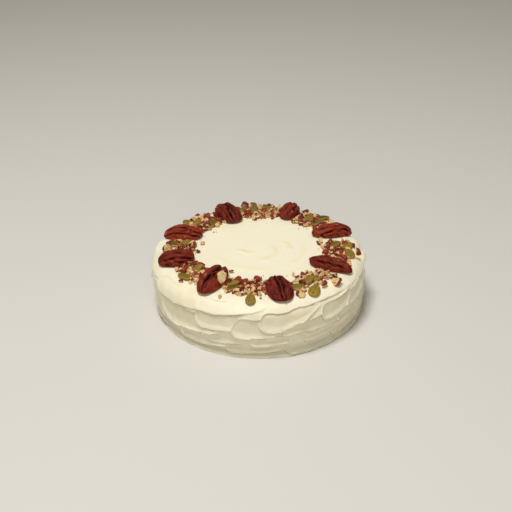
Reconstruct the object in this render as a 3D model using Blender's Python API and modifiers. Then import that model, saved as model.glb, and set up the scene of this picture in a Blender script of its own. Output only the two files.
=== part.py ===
"""Pumpkin cake: a low round cake under one coat of cream-cheese icing, with a ring of pecan halves,
chopped pecans and pumpkin seeds on top. Metres, +Z up; the origin is the middle of the flat
underside, and -Y is the front. Angles run anticlockwise from +X, seen from above."""
import math
import random

import bmesh
import bpy
import numpy as np
from mathutils import Matrix, Vector

MM = 0.001

# The iced cake: a 6 inch sponge with its icing.
CAKE_HEIGHT = 42.2 * MM
SIDE_RADIUS = 78.3 * MM
FOOT_TUCK = 2.2 * MM          # how far the side draws in towards the foot
TUCK_HEIGHT = 30 * MM         # and over what height
SIDE_BULGE = 0.3 * MM
SHOULDER_HEIGHT = 32 * MM     # the side is upright to here and then rounds over
TOP_RADIUS = 66 * MM          # the flat top ends here
SHOULDER_RUN = 16 * MM        # distance over the rounded shoulder
TOP_DISH = 0.5 * MM           # the top sinks this much in the middle
SHOULDER_RISE = CAKE_HEIGHT - SHOULDER_HEIGHT
SHOULDER_REACH = SIDE_RADIUS - TOP_RADIUS

# Mesh of the icing: fine enough for the knife strokes, then thinned to what they need.
ICING_STEPS = 720
SIDE_ROWS = 64
SHOULDER_ROWS = 24
TOP_ROWS = 6
ICING_TRIANGLES = 5200

# Strokes of the palette knife on the front: start angle in degrees and height of the stroke's
# middle there, sweep in degrees, rise over the sweep, width, how much it narrows, and depth.
# Each is laid over the ones before it.
FRONT_STROKES = (
    (186.0, 8.0, 34, 1.5, 11.0, 0.40, 0.8),
    (183.0, 22.0, 36, 10.0, 20.0, 0.60, 0.9),
    (196.0, 15.0, 30, 5.0, 15.0, 0.45, 0.9),
    (224.0, 10.9, 36, 3.0, 11.6, 0.50, 1.3),
    (208.5, 21.2, 46, 5.0, 18.6, 0.60, 1.4),
    (204.0, 36.3, 40, 6.0, 14.0, 0.30, 0.6),
    (252.0, 8.6, 36, 2.0, 9.2, 0.40, 1.2),
    (265.0, 14.5, 26, 1.5, 9.4, 0.40, 1.4),
    (243.0, 13.9, 18, 2.0, 7.0, 0.30, 0.9),
    (235.3, 27.5, 27, 3.0, 14.6, 0.20, 1.1),
    (236.2, 38.2, 40, 8.0, 11.0, 0.40, 0.8),
    (256.0, 24.3, 34, 8.0, 16.4, 0.50, 1.3),
    (318.0, 4.5, 34, 1.0, 8.0, 0.40, 1.2),
    (283.5, 9.2, 42, 3.5, 15.0, 0.45, 1.3),
    (310.0, 11.5, 30, 1.0, 8.0, 0.40, 1.4),
    (293.0, 13.6, 24, 1.0, 7.0, 0.40, 1.2),
    (280.5, 23.0, 44, -1.0, 9.6, 0.10, 1.1),
    (333.0, 12.0, 34, 2.0, 9.0, 0.40, 1.4),
    (314.0, 20.0, 32, 1.0, 9.2, 0.30, 1.5),
    (326.0, 16.0, 26, 3.0, 6.0, 0.40, 1.2),
    (338.0, 21.0, 30, 3.0, 10.0, 0.40, 1.4),
    (278.0, 31.0, 50, 12.0, 10.0, 0.50, 1.0),
    (269.8, 29.5, 30, 9.0, 15.6, 0.90, 1.3),
    (347.0, 30.0, 30, 4.0, 11.0, 0.50, 1.3),
    (319.0, 29.5, 26, 4.0, 10.4, 0.40, 1.3),
    (294.0, 44.0, 46, -1.0, 12.0, 0.20, 0.45),
    (302.4, 28.9, 23, 5.0, 13.0, 0.55, 1.3),
)
# The rest of the side is worked in four rows of like strokes: height and width of each row.
BACK_ROWS = ((6, 9), (14, 10), (21, 12), (28.5, 14))
BACK_ENDS_AT = 190
STROKE_SEED = 7
EDGE_SLOPE = 0.5              # millimetres from a stroke's edge to its face, at the lower edge
UPPER_SLOPE = 0.9             # and how much more at the upper edge
LIP_BACK = 2.6                # the lip falls off to the stroke over this
LIP_FACE = 0.25               # and to what lies under it over this
LIP_HEIGHT = 0.95             # share of the stroke's depth
# The foot stands out to one side, and ends in a thin bead.
FOOT_LEAN = 0.9
LEANS_TO = 315
FOOT_BEAD = 0.5
WANDER = 0.6                  # how far the strokes stray from smooth lines
SLACK = 0.12                  # and how uneven their faces are
WAVES = 9
# Soft flaps where the knife left the rim, and a soft bulge: angle, distance up the side, half
# width in degrees, half height and how far each stands out.
EARS = ((358, 37.5, 4.5, 3.6, 2.6), (13.5, 38.5, 6.0, 3.4, 1.5), (169, 38.0, 6.0, 3.4, 1.8),
        (182, 28, 30, 9, 1.1))

# Pecan halves: angle and radius of the middle, heading of the outer end, length, width, thickness,
# how much each narrows outwards, its bow, and how far the lobes part at the inner and outer end.
PECANS = (
    (112.9, 61.0, 115.0, 33.2, 17.6, 8.4, 0.05, 0.00, 0.00, 0.08),
    (66.2, 62.8, 70.0, 25.2, 14.8, 8.2, -0.02, 0.00, 0.00, 0.00),
    (23.6, 61.2, 15.0, 31.8, 16.2, 7.4, -0.20, -0.03, 0.00, 0.03),
    (333.0, 57.7, 334.4, 32.2, 14.0, 7.3, 0.06, 0.00, -0.05, 0.00),
    (283.4, 59.8, 284.0, 26.9, 18.0, 9.0, -0.08, -0.01, 0.05, -0.07),
    (235.3, 56.3, 246.0, 32.8, 17.0, 9.5, 0.04, 0.01, 0.15, 0.00),
    (194.2, 61.3, 188.0, 26.6, 18.2, 7.9, 0.00, 0.08, 0.00, 0.10),
    (158.1, 61.5, 171.0, 29.9, 18.6, 7.5, 0.01, 0.01, 0.15, 0.00),
)
# How much of their depth the furrows keep at the inner and the outer end of each, and how blunt
# its ends are.
ENDS = ((0.8, 0.8, 0.37), (0.7, 0.3, 0.42), (0.3, 0.5, 0.42), (0.3, 0.2, 0.44), (0.4, 1.0, 0.37),
        (0.9, 0.5, 0.37), (0.3, 0.8, 0.40), (0.9, 0.3, 0.42))
# The furrows of each: place round the crown (1 the left edge, -1 the right), how far that shifts
# to the right towards the inner end, width and depth. The lobes part at the first.
FURROWS = (
    ((0.05, -0.30, 0.065, 0.40), (-0.10, 0.00, 0.070, 0.40), (0.50, 0.00, 0.09, 0.16),
     (-0.50, 0.00, 0.08, 0.12)),
    ((0.02, -0.45, 0.055, 0.24), (-0.45, -0.28, 0.060, 0.22), (0.45, -0.20, 0.05, 0.10)),
    ((-0.50, 0.40, 0.085, 0.28), (-0.16, 0.00, 0.065, 0.26), (0.30, 0.00, 0.08, 0.22),
     (-0.82, 0.20, 0.07, 0.14)),
    ((-0.08, 0.00, 0.080, 0.22), (-0.50, -0.10, 0.080, 0.24), (0.33, 0.00, 0.08, 0.20)),
    ((0.13, 0.00, 0.090, 0.44), (-0.13, 0.00, 0.065, 0.40), (-0.47, 0.05, 0.06, 0.14),
     (0.52, 0.00, 0.06, 0.09)),
    ((0.00, -0.05, 0.085, 0.46), (0.19, 0.00, 0.065, 0.38), (-0.50, 0.00, 0.07, 0.12)),
    ((0.48, -0.05, 0.080, 0.30), (0.08, -0.02, 0.060, 0.28), (-0.35, 0.00, 0.08, 0.20),
     (0.80, 0.00, 0.07, 0.14)),
    ((0.08, -0.22, 0.070, 0.40), (0.59, 0.00, 0.080, 0.30), (-0.35, 0.00, 0.08, 0.20),
     (0.33, -0.10, 0.055, 0.10)),
)
PECAN_SEGMENTS = 96            # before the mesh is thinned
PECAN_RINGS = 64
PECAN_TRIANGLES = 470
PECAN_SAG = 2.5 * MM          # the most a half follows the icing down over the shoulder
FOLD_DEPTH = 0.035            # of the thickness, as are the next two
CREASE_DEPTH = 0.04
SOLE = 0.08                   # height of the edge round the flat side
TIP_RISE = 0.2                # how far the ends of the flat side curve up
CREASES = 5
# The sixth has a chip off its left edge: the slant of its face, how far the face lies from the
# middle of the sole, the middle of the stretch it runs over and half the length of that.
CHIPPED = 6
CHIP_LEAN = math.radians(32)
CHIP_AT = 8.2
CHIP_MIDDLE = -0.15
CHIP_REACH = 0.56
SEAT_GAP = 0.4 * MM           # between a pecan half and the icing under it

# Pumpkin seeds: radius and angle of the middle, heading, tilt in degrees, length, width.
SEEDS = (
    (60.6, 296.2, 0, 6, 10.0, 6.8),
    (58.2, 306.4, 40, 20, 9.0, 6.0),
    (58.6, 311.4, 330, 10, 9.5, 6.0),
    (69.0, 303.2, 68, 2, 12.0, 8.2),
    (68.6, 265.2, 85, 3, 9.5, 7.0),
    (53.0, 250.8, 350, 18, 9.0, 6.0),
    (57.8, 252.2, 10, 10, 9.0, 6.0),
    (65.1, 217.3, 315, 4, 12.5, 6.2),
    (52.4, 215.0, 30, 25, 8.5, 6.0),
    (69.0, 143.0, 125, 10, 9.5, 7.0),
    (62.0, 140.6, 70, 14, 8.5, 6.0),
    (53.2, 132.3, 62, 10, 10.5, 6.8),
    (63.4, 100.8, 60, 10, 9.0, 6.2),
    (61.9, 92.8, 80, 28, 9.5, 6.0),
    (65.7, 82.8, 176, 8, 11.0, 6.4),
    (58.0, 46.6, 70, 25, 11.0, 6.8),
    (68.3, 43.0, 355, 12, 12.0, 7.4),
    (60.5, 40.5, 10, 10, 11.0, 7.0),
    (56.9, 3.2, 10, 20, 9.0, 6.2),
    (65.9, 1.6, 50, 8, 10.0, 7.4),
    (66.7, 352.0, 100, 6, 12.0, 8.0),
    (62.6, 174.6, 95, 8, 9.5, 6.0),
    (55.4, 172.5, 20, 25, 8.0, 5.6),
)
SEED_THICKNESS = 2.5
SEED_SUNK = 0.5               # how deep the low end presses into the icing
SEED_SEGMENTS = 8
SEED_RINGS = 4

# The larger bits of chopped pecan: radius, angle, longest way across, heading of that, and share
# of broken faces.
CHUNKS = (
    (54.1, 299.0, 9.0, 10, 0.35), (47.6, 314.4, 3.8, 60, 0.60), (52.3, 315.0, 5.8, 95, 0.95),
    (54.0, 319.5, 5.6, 80, 0.35), (58.2, 319.6, 6.4, 75, 0.80), (63.8, 318.5, 5.2, 20, 0.90),
    (68.1, 311.1, 5.6, 40, 0.40), (70.4, 318.5, 7.2, 10, 0.60), (68.8, 295.0, 6.6, 50, 0.50),
    (61.0, 304.4, 2.6, 0, 0.10), (44.5, 303.3, 3.6, 90, 0.95),
    (59.0, 244.8, 4.6, 62, 0.30), (37.6, 239.3, 3.4, 20, 0.10), (51.0, 255.0, 6.4, 0, 0.15),
    (64.0, 257.2, 7.4, 0, 0.50), (48.3, 264.4, 8.3, 0, 0.95), (57.5, 266.0, 6.0, 0, 0.35),
    (43.1, 271.1, 4.0, 60, 0.20), (55.2, 271.0, 5.8, 10, 0.60), (69.7, 247.9, 3.2, 60, 1.00),
    (66.8, 271.1, 2.2, 0, 1.00),
    (63.5, 203.5, 4.6, 90, 0.50), (57.3, 212.0, 6.4, 95, 0.95), (55.2, 217.5, 4.6, 0, 0.90),
    (58.4, 221.9, 4.4, 0, 1.00), (62.7, 226.1, 4.4, 0, 0.30), (66.1, 224.3, 3.8, 60, 0.80),
    (69.8, 218.9, 3.8, 300, 0.40),
    (67.1, 179.9, 7.8, 40, 0.85), (61.6, 177.5, 6.0, 20, 0.95), (56.8, 174.6, 4.6, 0, 0.50),
    (49.8, 173.7, 8.4, 60, 0.85), (49.0, 181.1, 5.2, 30, 0.05), (44.5, 184.2, 3.4, 0, 0.10),
    (42.2, 168.2, 3.8, 0, 0.00),
    (65.5, 135.5, 8.0, 0, 0.50), (56.5, 140.3, 5.6, 45, 0.90), (53.8, 137.9, 6.2, 0, 0.20),
    (68.7, 125.0, 4.2, 90, 0.10), (69.3, 120.4, 3.6, 90, 0.80), (72.0, 126.0, 3.6, 0, 0.80),
    (51.2, 143.0, 4.0, 0, 0.30),
    (71.5, 98.5, 6.8, 340, 0.00), (72.5, 93.0, 6.4, 0, 0.80), (69.5, 88.6, 5.8, 0, 0.90),
    (62.4, 84.4, 4.8, 0, 1.00), (56.0, 81.3, 6.2, 0, 0.40), (61.3, 76.5, 6.2, 80, 0.80),
    (57.2, 97.0, 5.8, 70, 0.25), (53.7, 94.0, 4.8, 0, 0.50), (57.3, 87.5, 4.6, 0, 0.60),
    (72.0, 60.5, 4.0, 90, 0.30), (68.0, 56.0, 4.0, 90, 0.90), (56.8, 53.0, 7.0, 40, 0.05),
    (69.5, 50.7, 5.4, 90, 0.85), (53.2, 43.5, 7.2, 30, 0.20), (73.0, 43.5, 5.0, 0, 1.00),
    (71.4, 38.5, 4.6, 0, 0.30),
    (49.0, 14.0, 5.6, 80, 0.85), (46.4, 9.6, 4.6, 0, 0.70), (47.6, 2.7, 4.8, 0, 0.95),
    (52.0, 4.9, 4.8, 30, 1.00), (55.2, 9.7, 4.4, 0, 0.10), (51.1, 0.2, 4.2, 0, 0.00),
    (57.5, 356.0, 5.6, 100, 0.10), (54.7, 353.5, 4.4, 90, 0.20), (72.2, 356.5, 6.4, 120, 0.05),
    (73.5, 350.4, 3.6, 90, 0.90), (60.7, 4.5, 4.0, 0, 0.40),
)
# Drifts the rest fall in: middle angle and spread in degrees, middle radius and spread, share.
DRIFTS = (
    (44.5, 8.5, 60.5, 5.6, 1.15),
    (89.6, 10.5, 60.5, 5.8, 1.60),
    (138.0, 9.5, 59.5, 5.6, 1.25),
    (178.0, 6.0, 57.5, 5.6, 0.95),
    (214.5, 8.5, 56.5, 4.6, 1.20),
    (258.0, 9.5, 54.5, 4.8, 1.25),
    (309.0, 9.5, 58.0, 4.8, 0.95),
    (356.0, 8.5, 58.5, 6.0, 1.05),
)
SOLID_BITS = 100               # the largest of the chopped bits, as solids
BIT_TRIES = 14
BIT_SEED = 23
LEAST_GAP = 0.4               # millimetres, between any topping and a pecan half


def smooth(x):
    """0 below 0, 1 above 1, and a smooth step between."""
    x = np.clip(x, 0, 1)
    return x * x * (3 - 2 * x)


# ---- the icing -------------------------------------------------------------------------------

def icing_profile(run):
    """Radius, height and outward normal of the smooth icing, run metres up from the foot."""
    turn = np.clip((run - SHOULDER_HEIGHT) / SHOULDER_RUN, 0, 1) * math.pi / 2
    up = np.clip(run, 0, SHOULDER_HEIGHT)
    inward = np.clip(run - SHOULDER_HEIGHT - SHOULDER_RUN, 0, TOP_RADIUS)
    tuck = FOOT_TUCK * (1 - smooth(run / TUCK_HEIGHT))
    bulge = SIDE_BULGE * np.sin(up / SHOULDER_HEIGHT * math.pi)
    radius = TOP_RADIUS + SHOULDER_REACH * np.cos(turn) - inward - tuck + bulge
    dish = TOP_DISH * (1 - ((TOP_RADIUS - inward) / TOP_RADIUS) ** 2)
    height = up + SHOULDER_RISE * np.sin(turn) - dish
    out, rise = np.cos(turn) * SHOULDER_RISE, np.sin(turn) * SHOULDER_REACH
    size = np.hypot(out, rise)
    return radius, height, out / size, rise / size


def run_of(radius, height):
    """How far up from the foot a point of the smooth icing lies."""
    turn = np.arctan2((height - SHOULDER_HEIGHT) / SHOULDER_RISE,
                      np.clip(radius - TOP_RADIUS, 0, None) / SHOULDER_REACH)
    shoulder = SHOULDER_HEIGHT + SHOULDER_RUN * turn / (math.pi / 2)
    top = SHOULDER_HEIGHT + SHOULDER_RUN + TOP_RADIUS - radius
    return np.where(height < SHOULDER_HEIGHT, height, np.where(radius > TOP_RADIUS, shoulder, top))


def waver(angle, up, wave, seed):
    """Smooth noise round the icing, about -1 to 1, its waves about this many millimetres long."""
    draw = random.Random(seed)
    total = np.zeros_like(up)
    for _ in range(WAVES):
        heading, length = draw.uniform(0, math.pi), wave * draw.uniform(0.75, 1.4)
        turns = round(math.tau * SIDE_RADIUS / MM / length * math.cos(heading))
        climb = math.tau / length * math.sin(heading)
        total += np.sin(np.radians(angle) * turns + up * climb + draw.uniform(0, math.tau))
    return total * math.sqrt(2 / WAVES) / 1.6


def lay_stroke(depth_so_far, angle, up, stroke):
    """The icing after one more stroke: a shallow scoop with a round start, a lip along its lower
    edge, and an end where the knife lifts off. Angles in degrees, the rest in millimetres."""
    start, height, sweep, rise, width, narrow, depth = stroke
    per_degree = SIDE_RADIUS / MM * math.pi / 180
    length = sweep * per_degree
    widest = width / 2
    along = ((angle - start + 180) % 360 - 180) * per_degree - 0.9 * widest
    share = np.clip(along / length, 0, 1)
    bend = share ** 1.8
    half = widest * (1 - narrow * bend)
    across = up - (height + rise * bend)
    beyond = np.where(along < 0, -along, np.clip(along - length, 0, None))
    edge = np.hypot(beyond * 1.1, across) - half
    low = smooth(0.5 - across / (1.3 * half))
    slope = EDGE_SLOPE + UPPER_SLOPE * (1 - low)
    pressed = smooth(-edge / slope) * (1 - smooth((share - 0.65) / 0.35))
    face = -depth * (0.45 + 0.25 * across / half)
    crest = np.exp(-(edge / np.where(edge > 0, LIP_FACE, LIP_BACK * (0.4 + 0.6 * low))) ** 2)
    lip = crest * (0.25 + 0.75 * low) * smooth((1 - share) / 0.4)
    return depth_so_far * (1 - pressed) + face * pressed + LIP_HEIGHT * depth * lip


def all_strokes():
    """The rows of strokes round the back, then the ones on the front."""
    draw = random.Random(STROKE_SEED)
    strokes = []
    for height, width in BACK_ROWS:
        start = draw.uniform(-14, 4)
        while start < BACK_ENDS_AT:
            sweep = draw.uniform(20, 34)
            strokes.append((start % 360, height + draw.uniform(-2, 2), sweep, draw.uniform(0.5, 6.5),
                            width * draw.uniform(0.75, 1.1), draw.uniform(0.2, 0.65),
                            draw.uniform(0.8, 1.3)))
            start += sweep * draw.uniform(0.55, 0.85)
    return strokes + list(FRONT_STROKES)


def icing_relief(angle, up):
    """How far the worked icing stands out from the smooth one, in millimetres."""
    on_side = 1 - smooth((up - 44) / 8)
    around = angle + WANDER * waver(angle, up, 16, 1) * on_side
    above = up + WANDER * (waver(angle, up, 16, 2) + 0.3 * waver(angle, up, 5, 3)) * on_side
    relief = np.zeros_like(up)
    for stroke in all_strokes():
        relief = lay_stroke(relief, around, above, stroke)
    relief *= smooth(up / 2.0)
    relief += FOOT_LEAN * np.cos(np.radians(angle - LEANS_TO)) * (1 - smooth(up / 28))
    relief += SLACK * waver(angle, up, 12, 4) * on_side
    relief += FOOT_BEAD * np.exp(-((up - 0.8) / 1.5) ** 2) * (1 + 0.6 * waver(angle, up, 7, 5))
    for ear_angle, ear_up, wide, tall, stand in EARS:
        off = (angle - ear_angle + 180) % 360 - 180
        relief += stand * np.exp(-(off / wide) ** 4 - ((up - ear_up) / tall) ** 2)
    return relief


def applied(obj):
    """Apply the object's modifiers and return it."""
    evaluated = obj.evaluated_get(bpy.context.evaluated_depsgraph_get())
    mesh = bpy.data.meshes.new_from_object(evaluated)
    obj.modifiers.clear()
    obj.data = mesh
    return obj


def icing_blank():
    """The smooth cake, turned from its profile, top middle first."""
    side = np.linspace(0, SHOULDER_HEIGHT, SIDE_ROWS, endpoint=False)
    shoulder = SHOULDER_HEIGHT + np.linspace(0, SHOULDER_RUN, SHOULDER_ROWS, endpoint=False)
    top = SHOULDER_HEIGHT + SHOULDER_RUN + np.linspace(0, TOP_RADIUS, TOP_ROWS)
    radius, height, _, _ = icing_profile(np.concatenate([side, shoulder, top])[::-1])
    points = [(r, 0, z) for r, z in zip(radius, height)] + [(0, 0, 0)]
    mesh = bpy.data.meshes.new("frosted_cake")
    mesh.from_pydata(points, [(i, i + 1) for i in range(len(points) - 1)], [])
    cake = bpy.data.objects.new("frosted_cake", mesh)
    PARTS.objects.link(cake)
    turned = cake.modifiers.new("turned", "SCREW")
    turned.axis = "Z"
    turned.steps = turned.render_steps = ICING_STEPS
    turned.use_merge_vertices = True
    turned.merge_threshold = 0.00001
    return applied(cake)


def work_icing(cake):
    """Push the turned surface out and in by the strokes, then thin the mesh."""
    mesh = cake.data
    points = np.array([v.co for v in mesh.vertices])
    radius = np.hypot(points[:, 0], points[:, 1])
    angle = np.degrees(np.arctan2(points[:, 1], points[:, 0]))
    run = run_of(radius, points[:, 2])
    _, _, out, rise = icing_profile(run)
    stand = icing_relief(angle, run / MM) * MM
    moved = radius + stand * out
    points[:, 0] = moved * np.cos(np.radians(angle))
    points[:, 1] = moved * np.sin(np.radians(angle))
    points[:, 2] += stand * rise
    for vertex, point in zip(mesh.vertices, points):
        vertex.co = point
    thinned = cake.modifiers.new("thinned", "DECIMATE")
    thinned.ratio = ICING_TRIANGLES / (2 * len(mesh.polygons))
    applied(cake)
    for vertex in cake.data.vertices:
        if vertex.co.z < 0.05 * MM:
            vertex.co.z = 0


def top_height(radius):
    """How high the smooth icing stands at a radius, out to the side."""
    reach = np.clip((radius - TOP_RADIUS) / SHOULDER_REACH, 0, 0.98)
    return SHOULDER_HEIGHT + SHOULDER_RISE * np.sqrt(1 - reach * reach)


def on_icing(radius, angle):
    """The point and the outward normal of the smooth icing at a radius and angle on top."""
    reach = min(max(radius - TOP_RADIUS, 0) / SHOULDER_REACH, 0.98)
    lean = reach / SHOULDER_REACH
    up = math.sqrt(1 - reach * reach) / SHOULDER_RISE
    turned = Vector((math.cos(math.radians(angle)), math.sin(math.radians(angle)), 0))
    normal = turned * lean + Vector((0, 0, up))
    return turned * radius + Vector((0, 0, float(top_height(radius)))), normal.normalized()


RUDDY = (0.0, 0.3, 0.9, 0.2, 0.0, 0.5, 0.1, 0.9)


# ---- the pecan halves ------------------------------------------------------------------------

def pecan_points(along, around, shape, furrows, seed):
    """Points of a pecan half, flat side down. along runs -1 to 1 from the inner end to the outer,
    and around from 0 at the left edge over the crown."""
    length, width, thick, taper, bow, inner_notch, outer_notch, inner_keep, outer_keep, blunt = shape
    draw = random.Random(seed)
    wave, pitch = draw.uniform(0, 6), draw.uniform(8, 11)
    side, crown = np.cos(around), np.sin(around)
    turn = 1 - np.where(around > 1.5 * math.pi, around - math.tau, around) / (math.pi / 2)
    girth = np.clip(1 - along * along, 0, 1) ** blunt
    ovate = 1 - taper * along
    keep = np.where(along < 0, inner_keep, outer_keep)
    fade = keep + (1 - keep) * smooth((1 - np.abs(along)) / 0.4)
    aside = turn * girth ** 0.6
    furrow = np.zeros_like(along)
    for place, shift, wide, deep in furrows:
        off = aside - place - shift * np.minimum(along, 0) + 0.02 * np.sin(5 * along + wave)
        uneven = 0.8 + 0.2 * np.sin(8 * along + wave + 9 * place)
        furrow += deep * uneven * fade * np.exp(-(off / wide) ** 2)
    folds = np.sin(pitch * along + wave + 2.5 * turn + np.sin(6 * turn + wave))
    crease = np.zeros_like(along)
    for _ in range(CREASES):
        ripple = (draw.uniform(-8, 8) * along + draw.uniform(4, 12) * turn
                  + 0.9 * np.sin(draw.uniform(3, 8) * along + draw.uniform(-5, 5) * turn))
        crease += np.abs(np.sin(ripple + draw.uniform(0, math.tau)))
    crease = 0.64 - crease / CREASES
    carved = furrow + FOLD_DEPTH * folds + 3 * CREASE_DEPTH * crease
    notch = np.where(along < 0, inner_notch, outer_notch) * smooth((np.abs(along) - 0.4) / 0.6)
    parting = furrows[0][0] - furrows[0][1] * (along < 0)
    reach = length / 2 * along * (1 - notch * np.exp(-((turn - parting) / 0.16) ** 2))
    across = width / 2 * girth * ovate * side * (1 - carved * smooth(crown / 0.4))
    across += bow * width * (1 - along * along)
    sole = SOLE * thick * girth
    height = thick * girth * ovate ** 0.5 * np.clip(crown, 0, 1) ** 0.75 * (1 - carved)
    height = np.where(crown < 0, sole * (1 + crown), np.maximum(height, sole))
    height += TIP_RISE * thick * along ** 4
    return np.stack([reach, across, height], 1)


def chip_off(points, along):
    """The half with a chip broken off its left edge."""
    normal = np.array((0, math.cos(CHIP_LEAN), math.sin(CHIP_LEAN)))
    beyond = points @ normal - CHIP_AT - 3 * ((along - CHIP_MIDDLE) / CHIP_REACH) ** 4
    beyond = np.clip(beyond + 0.25 * np.sin(9 * along), 0, None)
    return points - beyond[:, None] * normal


def pecan_half(number, spec, cake):
    """One pecan half lying on the icing, its ends sagging with the shoulder."""
    lying_place, ends, furrows = spec
    angle, radius, heading, *shape = lying_place + ends
    shell = bmesh.new()
    bmesh.ops.create_uvsphere(shell, u_segments=PECAN_SEGMENTS, v_segments=PECAN_RINGS, radius=1)
    ball = np.array([v.co for v in shell.verts])
    around = np.arctan2(ball[:, 1], ball[:, 0]) % math.tau
    points = pecan_points(ball[:, 2], around, shape, furrows, number)
    if number == CHIPPED:
        points = chip_off(points, ball[:, 2])
    place, _ = on_icing(0, 0)
    place += Vector((math.cos(math.radians(angle)), math.sin(math.radians(angle)), 0)) * radius * MM
    turned = np.array(Matrix.Rotation(math.radians(heading), 3, "Z"))
    points = points * MM @ turned.T + np.array(place)
    fall = CAKE_HEIGHT - top_height(np.hypot(points[:, 0], points[:, 1]))
    points[:, 2] -= PECAN_SAG * np.tanh(fall / PECAN_SAG)
    points[:, 2] += SEAT_GAP - clearance(points, cake)
    for vertex, point in zip(shell.verts, points):
        vertex.co = point
    bmesh.ops.triangulate(shell, faces=shell.faces)
    mesh = bpy.data.meshes.new(f"pecan_half_{number}")
    shell.to_mesh(mesh)
    shell.free()
    half = bpy.data.objects.new(mesh.name, mesh)
    PARTS.objects.link(half)
    thinned = half.modifiers.new("thinned", "DECIMATE")
    thinned.ratio = PECAN_TRIANGLES / len(mesh.polygons)
    applied(half).data.shade_smooth()
    return half


def clearance(points, cake):
    """The least height of these points above the icing."""
    least = CAKE_HEIGHT
    for x, y, z in points:
        hit, under, _, _ = cake.ray_cast(Vector((x, y, 2 * CAKE_HEIGHT)), Vector((0, 0, -1)))
        if hit:
            least = min(least, z - under.z)
    return least


# ---- the seeds and chopped nuts --------------------------------------------------------------

def on_plan(radius, angle):
    """A place on the top as plan coordinates."""
    return radius * math.cos(math.radians(angle)), radius * math.sin(math.radians(angle))


def pecan_gap(x, y):
    """Distance in millimetres from a plan point to the edge of the nearest pecan half, and the
    way straight off that half's side."""
    best = 1000.0, 0.0, 0.0
    along = np.cos(np.linspace(0, math.pi, 37))
    for (angle, radius, heading, length, width, _, taper, bow, _, _), ends in zip(PECANS, ENDS):
        turn = math.radians(heading)
        middle_x, middle_y = on_plan(radius, angle)
        forward = (x - middle_x) * math.cos(turn) + (y - middle_y) * math.sin(turn)
        sideways = (y - middle_y) * math.cos(turn) - (x - middle_x) * math.sin(turn)
        hand = 1 if sideways > 0 else -1
        across = hand * width / 2 * (1 - along ** 2) ** ends[2] * (1 - taper * along)
        across += bow * width * (1 - along ** 2)
        gap = float(np.hypot(along * length / 2 - forward, across - sideways).min())
        if abs(forward) < length / 2:
            edge = float(np.interp(-forward, -along * length / 2, across))
            gap = gap if (sideways - edge) * hand > 0 else -gap
        if gap < best[0]:
            best = gap, -hand * math.sin(turn), hand * math.cos(turn)
    return best


def bit_reach(size, heading, way_x, way_y):
    """How far a chopped bit reaches from its middle along a way in the plan."""
    turn = math.radians(heading)
    lengthways = way_x * math.cos(turn) + way_y * math.sin(turn)
    return size * math.hypot(0.56 * lengthways, 0.46 * math.sqrt(max(1 - lengthways ** 2, 0)))


def nut_bits():
    """The larger chopped bits: (radius, angle, size, heading, share of broken faces, number). The
    named ones slide off the halves; each of the rest takes the emptiest of a few drawn places."""
    draw = random.Random(BIT_SEED)
    shares = [drift[4] for drift in DRIFTS]
    bits, lying_there = [], [(*on_plan(r, a), 3.2) for r, a, *_ in SEEDS]
    for number in range(SOLID_BITS):
        heading, flesh = draw.uniform(0, 360), draw.choice((0.0, 0.2, 0.5, 0.8, 1.0))
        size = draw.uniform(3.8, 5.2)
        best, most = None, -1000.0
        if number < len(CHUNKS):
            radius, angle, size, heading, flesh = CHUNKS[number]
            best = clear_of_pecans(on_plan(radius, angle), size, heading)
        for _ in range(0 if best else BIT_TRIES):
            middle, fan, reach, spread, _ = draw.choices(DRIFTS, shares)[0]
            out, aside = draw.triangular(-2, 2), draw.triangular(-2, 2)
            x, y = on_plan(reach + spread * out, middle + fan * aside)
            if pecan_gap(x, y)[0] < LEAST_GAP + size * 0.5 or math.hypot(x, y) > 76:
                continue
            room = min(math.hypot(x - ox, y - oy) - half for ox, oy, half in lying_there)
            if room > most:
                best, most = (x, y), room
        if best:
            lying_there.append((*best, size * 0.42))
            angle = math.degrees(math.atan2(best[1], best[0]))
            bits.append((math.hypot(*best), angle, size, heading, flesh, number))
    return bits


def clear_of_pecans(spot, size, heading):
    """The spot of a bit in the plan, moved off any pecan half it would touch."""
    x, y = spot
    gap, away_x, away_y = pecan_gap(x, y)
    while gap < LEAST_GAP + bit_reach(size, heading, away_x, away_y):
        x, y = x + 0.2 * away_x, y + 0.2 * away_y
        gap, away_x, away_y = pecan_gap(x, y)
    return x, y


def lying(radius, angle, heading, tilt, lift):
    """The place of a topping on the icing: turned to its heading, tilted up at its far end."""
    point, normal = on_icing(radius * MM, angle)
    upright = Vector((0, 0, 1)).rotation_difference(normal).to_matrix().to_4x4()
    turned = Matrix.Rotation(math.radians(heading), 4, "Z")
    raised = Matrix.Rotation(math.radians(-tilt), 4, "Y")
    return Matrix.Translation(point + normal * lift * MM) @ upright @ turned @ raised


def seed_solid(spec):
    """A flat oval seed, pointed at one end, with a thin raised rim."""
    radius, angle, heading, tilt, length, width = spec
    shell = bmesh.new()
    bmesh.ops.create_uvsphere(shell, u_segments=SEED_SEGMENTS, v_segments=SEED_RINGS, radius=1)
    for vertex in shell.verts:
        x, y, z = vertex.co
        taper = 1 - 0.22 * z - 0.10 * smooth((z - 0.6) / 0.4)
        plump = 1 + 0.14 * smooth((math.hypot(z, x) - 0.72) / 0.12)
        thick = math.copysign(abs(y) ** 0.7, y) * plump
        vertex.co = (length / 2 * z * MM, width / 2 * x * taper * MM, SEED_THICKNESS / 2 * thick * MM)
    lift = length / 2 * math.sin(math.radians(tilt)) + SEED_THICKNESS / 2 - SEED_SUNK
    return topping("seed", shell, lying(radius, angle, heading, tilt, lift), 2)


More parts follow.
